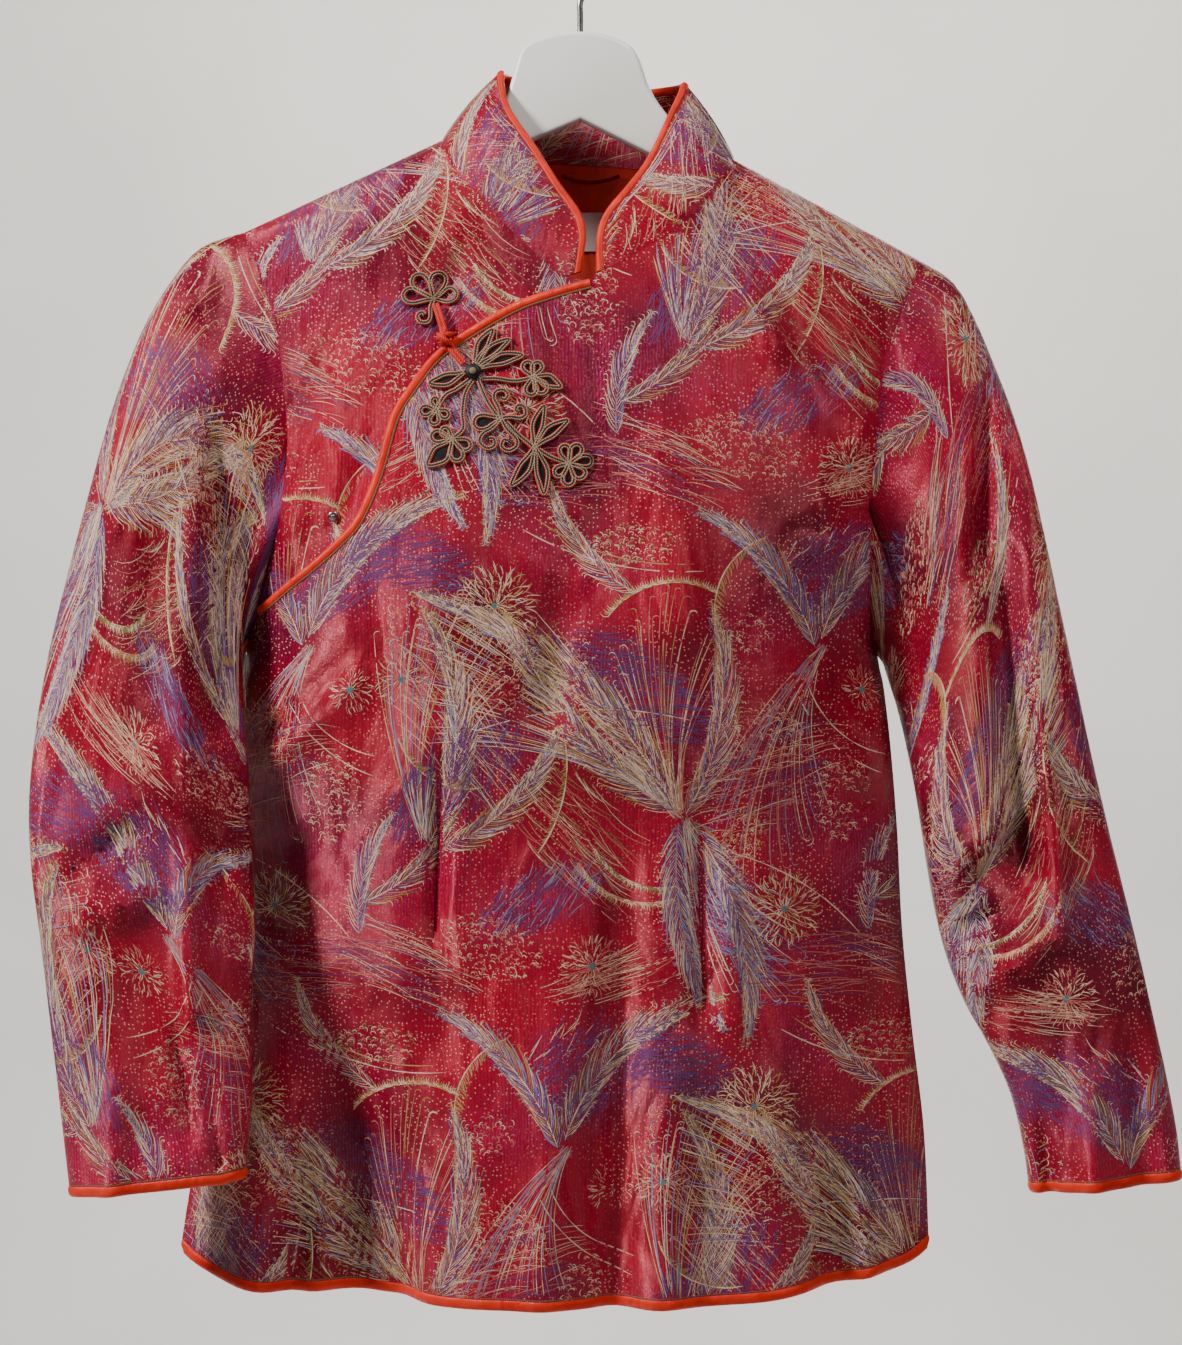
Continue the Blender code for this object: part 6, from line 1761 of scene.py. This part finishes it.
def strap_and_knot():
    """Red strap from the upper flower over the binding, its folded knot, and the loop below."""
    over = BINDING_THICK / 2 - CLOTH / 2 + BINDING_RAISE + 0.5
    dense = dense_curve(STRAP_PATH, 6)
    point, normal = skin(upper_front_y, dense[:, 0], dense[:, 1])
    share = np.linspace(0.0, 1.0, len(dense))
    rise = 3.0 + (over - 2.2) * smooth(1.0 - np.abs(share - 0.62) / 0.34)
    under_y = front_y(dense[:, 0], dense[:, 1])
    rise[share < 0.42] = (point[:, 1] - under_y)[share < 0.42] + 3.4
    rise = np.convolve(np.pad(rise, 3, mode="edge"), np.ones(7) / 7, mode="valid")
    along = unit(np.gradient(point, axis=0))
    side = unit(np.cross(along, normal))
    tubes = []
    for offset in (-STRAP_APART, STRAP_APART):
        centre = point + normal * (rise[:, None] + 0.6) + side * offset
        rings = oval_rings((centre, side, normal), STRAP_RADIUS * 2, STRAP_RADIUS * 1.7, 10)
        tubes.append((rings, False))
    joined_tubes("strap", tubes, "red_cord", "red_cord", ("frog_strap", "frog_loop"))
    turns = []
    for angle, reach in KNOT_TURNS:
        turn = math.radians(angle)
        path = []
        for step in range(9):
            swing = math.pi * (step / 8 - 0.5)
            along, aside = reach * math.sin(swing), KNOT_SWING * math.cos(swing)
            path.append((
                KNOT_CENTRE[0] + along * math.cos(turn) - aside * math.sin(turn),
                KNOT_CENTRE[1] + along * math.sin(turn) + aside * math.cos(turn),
            ))
        dense = dense_curve(path, 3)
        point, normal = skin(upper_front_y, dense[:, 0], dense[:, 1])
        swell = np.sin(math.pi * np.linspace(0.0, 1.0, len(dense)))
        along = unit(np.gradient(point, axis=0))
        side = unit(np.cross(along, normal))
        middle = point + normal * (over + 1.6 + 3.0 * swell[:, None] + angle / 140.0)
        turns.append((oval_rings((middle, side, normal), 3.2, 2.4, 10), False))
    joined_tubes("knot_turns", turns, "red_cord", "red_cord", ("knot",))


def neck_inside():
    """Lining, blank label and hanging loop inside the back neck."""
    cols, rows = 40, 30
    across = np.linspace(LINING_LEFT, LINING_RIGHT, cols + 1)
    top = read_table(BACK_NECK, 1, across) - LINING_TOP_GAP
    down = np.linspace(1.0, 0.0, rows + 1)[:, None]
    grid = np.stack([np.repeat(across[None], rows + 1, axis=0), top[None] - LINING_DROP * down], axis=2)
    sink = CLOTH + LINING_GAP
    layers = walls(grid, back_y, None, LINING_THICK, sink)
    depth, place, half_width = LINING_CREASE
    crease = depth * np.exp(-(((grid[..., 0] - place) / half_width) ** 2))
    layers[0][..., 1] -= crease
    layers[1][..., 1] -= crease
    lining = cloth_piece("neck_lining_cloth", layers, grid, ["lining", "lining"])
    declared(lining, "lining", "neck_lining")

    cols, rows = 16, 10
    across = np.linspace(-0.5, 0.5, cols + 1)[None, :, None]
    down = np.linspace(-0.5, 0.5, rows + 1)[:, None, None]
    grid = np.concatenate([
        LABEL_CENTRE[0] + LABEL_SIZE[0] * across + 0 * down,
        LABEL_CENTRE[1] + LABEL_SIZE[1] * down + 0 * across,
    ], axis=2)
    layers = walls(grid, back_y, None, LABEL_THICK, sink + LINING_THICK + LABEL_GAP + 0.5)
    tag = cloth_piece("blank_label", layers, grid, ["label", "label"])
    declared(tag, "label", "label")

    share = np.linspace(0.0, 1.0, 33)
    sag = HANG_LOOP_SAG * 4 * share * (1 - share)
    run = HANG_LOOP_LEFT + (HANG_LOOP_RIGHT - HANG_LOOP_LEFT) * share
    path = np.stack([run, HANG_LOOP_Z - sag], axis=1)
    lift = -(sink + LINING_THICK + LABEL_GAP + HANG_LOOP_WIDTH)
    rings = rings_on(path, HANG_LOOP_WIDTH / 2, lift, back_y, 0.8, 12)
    write_tint(tube_piece("hanging_loop_cord", rings, "brocade", "brocade", ("hanging_loop",)))
    return lining, tag


def write_tint(piece):
    """Gives a piece of brocade an even, untinted ground."""
    layer = piece.data.color_attributes.new("tint", "FLOAT_COLOR", "POINT")
    layer.data.foreach_set("color", np.zeros(4 * len(piece.data.vertices)))


def hanger_outline():
    """Outline of the moulded hanger from its left tip over the head and back under the arms."""

    def rest(x):
        return np.array((x, float(ridge(np.array(x))) - HANGER_DROP))

    tip_left, rest_left = rest(HANGER_TIP_LEFT), rest(HANGER_REST_LEFT)
    rest_right, tip_right = rest(HANGER_REST_RIGHT), rest(HANGER_TIP_RIGHT)
    head = dense_curve([tuple(rest_left), *HANGER_HEAD, tuple(rest_right)], 8)
    along_left = unit(rest_left - tip_left)
    along_right = unit(tip_right - rest_right)
    under_left = tip_left + np.array((along_left[1], -along_left[0])) * HANGER_TIP_DEPTH
    under_right = tip_right + np.array((along_right[1], -along_right[0])) * HANGER_TIP_DEPTH
    return np.vstack([
        [tip_left], head, [tip_right], rounded_end(tip_right, under_right), [under_right],
        [HANGER_NOTCH], [under_left], rounded_end(under_left, tip_left),
    ])


def rounded_end(start, end):
    """Points of a half round between two ends."""
    middle = (start + end) / 2
    spoke = start - middle
    cross = np.array((spoke[1], -spoke[0])) * HANGER_TIP_ROUND
    angle = math.pi * np.arange(1, 12)[:, None] / 12
    return middle + spoke * np.cos(angle) + cross * np.sin(angle)


def hanger_and_hook():
    outline = hanger_outline()
    build = bmesh.new()
    loop = [build.verts.new((x * MM, -HANGER_THICK / 2 * MM, z * MM)) for x, z in outline]
    front = build.faces.new(loop)
    raised = bmesh.ops.extrude_face_region(build, geom=[front], use_keep_orig=True)
    for item in raised["geom"]:
        if isinstance(item, bmesh.types.BMVert):
            item.co.y = HANGER_THICK / 2 * MM
    outward(build)
    rims = [
        edge for edge in build.edges
        if abs(edge.verts[0].co.y - edge.verts[1].co.y) < 1e-7
    ]
    bmesh.ops.bevel(
        build, geom=rims, offset=HANGER_EDGE * 0.9 * MM, offset_type="OFFSET", segments=5, profile=0.5,
        affect="EDGES", material=-1, clamp_overlap=True,
    )
    declared(finished("hanger_moulding", build, ["plastic"], 40.0), "plastic", "hanger")
    centre_z = HOOK_WIRE / 2 - HOOK_RADIUS
    path = [
        (HOOK_X, HOOK_FOOT - 2.0), (HOOK_X, (HOOK_FOOT + HOOK_BEND) / 2), (HOOK_X, HOOK_BEND),
        (3.2, HOOK_BEND + 4.0),
    ]
    for index in range(HOOK_ARC_STEPS):
        angle = math.radians(HOOK_ARC_START + HOOK_ARC_STEP * index)
        path.append((HOOK_RADIUS * math.cos(angle), centre_z + HOOK_RADIUS * math.sin(angle)))
    dense = dense_curve(path, 5)
    point = np.stack([dense[:, 0], np.zeros(len(dense)), dense[:, 1]], axis=1)
    along = unit(np.gradient(point, axis=0))
    through = np.repeat(np.array([[0.0, 1.0, 0.0]]), len(point), axis=0)
    rings = oval_rings((point, unit(np.cross(along, through)), through), HOOK_WIRE, HOOK_WIRE, 20)
    tube_piece("hook_wire", rings, "steel", "steel", ("hook",))


def sleeve_cut(outer):
    """Cut map of a sleeve: across from its inner edge's opposite side, down from the armhole."""
    ring_length = np.linalg.norm(np.roll(outer, -1, axis=1) - outer, axis=2)
    around = np.cumsum(ring_length, axis=1)
    around = np.concatenate([np.zeros((len(outer), 1)), around], axis=1)
    around -= around[:, -1:] / 2
    down = run_lengths(outer.mean(axis=1))
    return np.stack([around, np.repeat(-down[:, None], around.shape[1], axis=1)], axis=2)


def flat_area(outer, closed):
    """Area in square metres of a grid of points in millimetres."""
    if closed:
        outer = np.concatenate([outer, outer[:, :1]], axis=1)
    a, b, c, d = outer[:-1, :-1], outer[:-1, 1:], outer[1:, 1:], outer[1:, :-1]
    halves = np.linalg.norm(np.cross(b - a, c - a), axis=2) + np.linalg.norm(np.cross(c - a, d - a), axis=2)
    return float(halves.sum()) / 2 * MM * MM


def binding_trim(name, line, wide, closed_run):
    """Thin cord that lies along one edge of a binding, on its outer face."""
    centre, wide_axis, thick_axis = line
    middle = centre - wide_axis * (wide / 2) + thick_axis * (BINDING_THICK * 0.24)
    rings = oval_rings((middle, wide_axis, thick_axis), 1.2, 1.0, 6)
    return tube_piece(name, rings, "edge_cord", "satin_binding", closed_run=closed_run)


def sheet_row(name, node, layers, cut, shift, materials, closed=False):
    """A cloth piece with its flat width, length and area, and a list for the pieces sewn on it."""
    tint = tint_of(cut[..., 0], cut[..., 1], shift)
    piece = declared(cloth_piece(name, layers, cut, materials, closed, tint), "brocade", node)
    width, length = [float(np.ptp(cut[..., axis])) * MM for axis in (0, 1)]
    return [piece, width, length, flat_area(layers[0], closed), []]


def build_jacket():
    """Panels, sleeves and collar with their print, then bindings, closure, neck inside and hanger."""
    back_cut, back = back_panel()
    front_cut, front = upper_front_panel()
    under_cut, under = under_front_panel()
    start = sleeve_start(left_front_edge(), armhole_edge(back, 0), -1.0)
    left = sleeve_walls(start, LEFT_SLEEVE, LEFT_SLEEVE_FOLDS, LEFT_SLEEVE_CREASES)
    start = sleeve_start(armhole_edge(front, -1), armhole_edge(back, -1), 1.0)
    right = sleeve_walls(start, RIGHT_SLEEVE, RIGHT_SLEEVE_FOLDS, RIGHT_SLEEVE_CREASES)
    collar, collar_edge = collar_walls(front, under, back)

    sheets = []
    panels = (
        ("back_panel", "back", back, back_cut, back_y, (40.0, 120.0)),
        ("front_upper_panel", "front_upper", front, front_cut, upper_front_y, (-120.0, -60.0)),
        ("front_under_panel", "front_under", under, under_cut, front_y, (-40.0, -10.0)),
    )
    for name, node, layers, cut, surface, shift in panels:
        flat_threads(node + "_plumes", cut, surface, shift)
        sheets.append(sheet_row(name, node, layers, cut, shift, ["brocade", "lining"]))
    sleeves = (
        ("sleeve_left_tube", "sleeve_left", left, (-60.0, 30.0)),
        ("sleeve_right_tube", "sleeve_right", right, (80.0, -100.0)),
    )
    for name, node, (outer, inner), shift in sleeves:
        turned = [np.roll(layer, -ARMHOLE_CELLS, axis=1) for layer in (outer, inner)]
        if node == "sleeve_left":
            turned = [layer[:, ::-1] for layer in turned]
        cut = sleeve_cut(turned[0])
        sleeve_threads(node + "_plumes", turned[0], cut, shift)
        sheets.append(sheet_row(name, node, turned, cut, shift, ["brocade", "lining"], True))
    foot = collar[0][0]
    arc = run_lengths(foot)
    height = np.linalg.norm(collar[0] - foot[None], axis=2)
    cut = np.stack([np.repeat(arc[None], len(height), axis=0), height], axis=2)
    collar_threads("collar_plumes", collar[0], False, COLLAR_SHIFT)
    collar_threads("collar_inside_plumes", collar[1], True, COLLAR_SHIFT)
    sheets.append(sheet_row("collar_band", "collar", collar, cut, COLLAR_SHIFT, ["brocade", "brocade"]))

    left_cuff = cuff_binding_line(*left, LEFT_SLEEVE)
    right_cuff = cuff_binding_line(*right, RIGHT_SLEEVE)
    # Columns: piece, node, line and axes, width, closed all round, number of the sheet that carries it
    lines = (
        ("collar_edge_binding", "binding_collar", collar_edge, FRONT_BINDING, False, 5),
        ("overlap_edge_binding", "binding_overlap", overlap_binding_line(front), FRONT_BINDING, False, 1),
        ("hem_edge_binding", "binding_hem", hem_binding_line(front, back), HEM_BINDING, True, 0),
        ("cuff_binding_left", "binding_cuff_left", left_cuff, HEM_BINDING, True, 3),
        ("cuff_binding_right", "binding_cuff_right", right_cuff, HEM_BINDING, True, 4),
    )
    for name, node, line, wide, closed_run, carrier in lines:
        rings = oval_rings(line, wide, BINDING_THICK)
        piece = tube_piece(name, rings, "satin_binding", "satin_binding", (node,), closed_run)
        trim = binding_trim(name + "_trim", line, wide, closed_run)
        sheets[carrier][4] += [piece, trim]

    frog("frog_upper", UPPER_CORDS, (), front_y, False, ("frog_upper_flower",))
    other_nodes = ("frog_upper_flower", "frog_strap", "frog_loop", "frog_hub")
    frog_nodes = [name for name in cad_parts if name.startswith("frog_")]
    lower_nodes = [name for name in frog_nodes if name not in other_nodes]
    frog("frog_lower", LOWER_CORDS, LOWER_STEMS, upper_front_y, True, lower_nodes)
    bead("frog_centre", FROG_CENTRE, 4.6, 0.42, 0.8, upper_front_y, "black_satin", "cord", ("frog_hub",))
    bead("frog_eye", FROG_CENTRE, 2.0, 0.5, 4.0, upper_front_y, "cord", "cord")
    bead("snap_stud", SNAP_CENTRE, 3.0, 0.4, 0.3, front_y, "steel", "steel", ("snap",), ring=True)
    strap_and_knot()
    lining, tag = neck_inside()
    hanger_and_hook()


# Brushed zones of one repeat: centre (x, z), half widths, turn in degrees, number of the colour, strength
TINTS = (
    (46.0, 126.0, 46.0, 20.0, 40.0, 0, 0.9), (150.0, 186.0, 50.0, 20.0, -34.0, 1, 0.8),
    (206.0, 52.0, 40.0, 18.0, -56.0, 1, 0.8), (272.0, 246.0, 36.0, 24.0, 20.0, 0, 0.9),
    (96.0, 60.0, 40.0, 16.0, 24.0, 0, 0.7), (20.0, 258.0, 34.0, 18.0, -20.0, 1, 0.8),
    (150.0, 110.0, 40.0, 18.0, 120.0, 2, 0.8), (230.0, 176.0, 34.0, 18.0, -20.0, 2, 0.7),
    (84.0, 214.0, 34.0, 26.0, 0.0, 2, 0.7), (250.0, 110.0, 26.0, 30.0, 0.0, 0, 0.6),
    (28.0, 74.0, 36.0, 20.0, 20.0, 3, 0.8), (284.0, 74.0, 18.0, 34.0, 0.0, 3, 0.8),
    (122.0, 262.0, 40.0, 18.0, -20.0, 3, 0.8), (222.0, 216.0, 24.0, 18.0, 0.0, 3, 0.7),
)
TINT_COLOURS = ((0.150, 0.050, 0.180), (0.080, 0.072, 0.210), (0.070, 0.004, 0.012), (0.300, 0.016, 0.120))


def tint_of(across, down, shift):
    """Colour and strength of the brushed zones at places on the cut cloth."""
    total = np.zeros((*across.shape, 4))
    row = np.floor((down - shift[1]) / REPEAT[1])
    for beside in (-1, 0, 1):
        here = row + beside
        local_z = down - shift[1] - here * REPEAT[1]
        local_x = (across - shift[0] - (here % 2) * REPEAT[0] / 2) % REPEAT[0]
        for wrap in (-REPEAT[0], 0.0, REPEAT[0]):
            for x, z, half_x, half_z, turn, colour, strength in TINTS:
                swing = math.radians(turn)
                away_x, away_z = local_x + wrap - x, local_z - z
                along = away_x * math.cos(swing) + away_z * math.sin(swing)
                aside = away_z * math.cos(swing) - away_x * math.sin(swing)
                weight = strength * np.exp(-((along / half_x) ** 2) - ((aside / half_z) ** 2))
                total[..., :3] += weight[..., None] * np.array(TINT_COLOURS[colour])
                total[..., 3] += weight
    total[..., :3] /= np.maximum(total[..., 3:], 1e-6)
    total[..., 3] = np.clip(total[..., 3], 0.0, 0.9)
    return total


# Backdrop's profile (y, z) and half width, in metres
SWEEP_PROFILE = (
    (-2.2, -1.75), (1.6, -1.75), (2.4, -1.70), (2.9, -1.45), (3.15, -1.0), (3.2, -0.4), (3.2, 2.6),
)
SWEEP_HALF = 4.2

# Lamps: name, place and aim in metres, width in metres, power in watts, colour
LAMPS = (
    ("key_light", (-1.85, -0.9, 0.95), (0.0, 0.0, -0.45), 0.4, 98.0, (1.0, 0.98, 0.95)),
    ("fill_light", (1.9, -1.4, 0.1), (0.0, 0.0, -0.5), 1.2, 4.0, (0.96, 0.98, 1.0)),
    ("top_light", (0.7, -0.95, 1.25), (0.12, 0.0, -0.2), 0.6, 26.0, (1.0, 0.99, 0.94)),
    ("back_light", (0.8, 2.2, 0.6), (0.0, 0.0, -0.4), 1.4, 22.0, (1.0, 1.0, 1.0)),
    ("wall_light", (0.2, 1.0, 1.3), (0.3, 3.2, -0.2), 1.8, 106.0, (1.0, 0.97, 0.82)),
)
AIR_COLOUR = (0.93, 0.95, 1.0, 1.0)
AIR_STRENGTH = 0.12
CAMERA_PLACE = (0.0072, -1.7, -0.4461)
CAMERA_SENSOR = 36.0
CAMERA_LENS = 75.8


def studio():
    """Swept pale backdrop, soft lights and the camera."""
    dense = dense_curve(SWEEP_PROFILE, 8)
    across = np.linspace(-SWEEP_HALF, SWEEP_HALF, 3)
    points = np.zeros((len(dense), 3, 3))
    points[..., 0] = across[None]
    points[..., 1] = dense[:, :1]
    points[..., 2] = dense[:, 1:]
    build = grid_mesh(points / MM)[0]
    bmesh.ops.recalc_face_normals(build, faces=build.faces)
    sweep = finished("studio_sweep", build, ["backdrop"], 80.0)
    for name, place, aim, size, power, colour in LAMPS:
        data = bpy.data.lights.new(name, "AREA")
        data.shape = "DISK"
        data.size = size
        data.energy = power
        data.color = colour
        lamp = bpy.data.objects.new(name, data)
        lamp.location = place
        lamp.rotation_euler = (Vector(aim) - Vector(place)).to_track_quat("-Z", "Y").to_euler()
        bpy.context.scene.collection.objects.link(lamp)
    world = bpy.data.worlds.new("studio_air")
    world.use_nodes = True
    world.node_tree.nodes["Background"].inputs["Color"].default_value = AIR_COLOUR
    world.node_tree.nodes["Background"].inputs["Strength"].default_value = AIR_STRENGTH
    bpy.context.scene.world = world
    data = bpy.data.cameras.new("shop_camera")
    data.sensor_width = CAMERA_SENSOR
    data.lens = CAMERA_LENS
    camera = bpy.data.objects.new("shop_camera", data)
    camera.location = CAMERA_PLACE
    camera.rotation_euler = (math.radians(90.0), 0.0, 0.0)
    bpy.context.scene.collection.objects.link(camera)
    bpy.context.scene.camera = camera


REPEAT_STROKES = print_repeat()
make_finishes()
build_jacket()
studio()
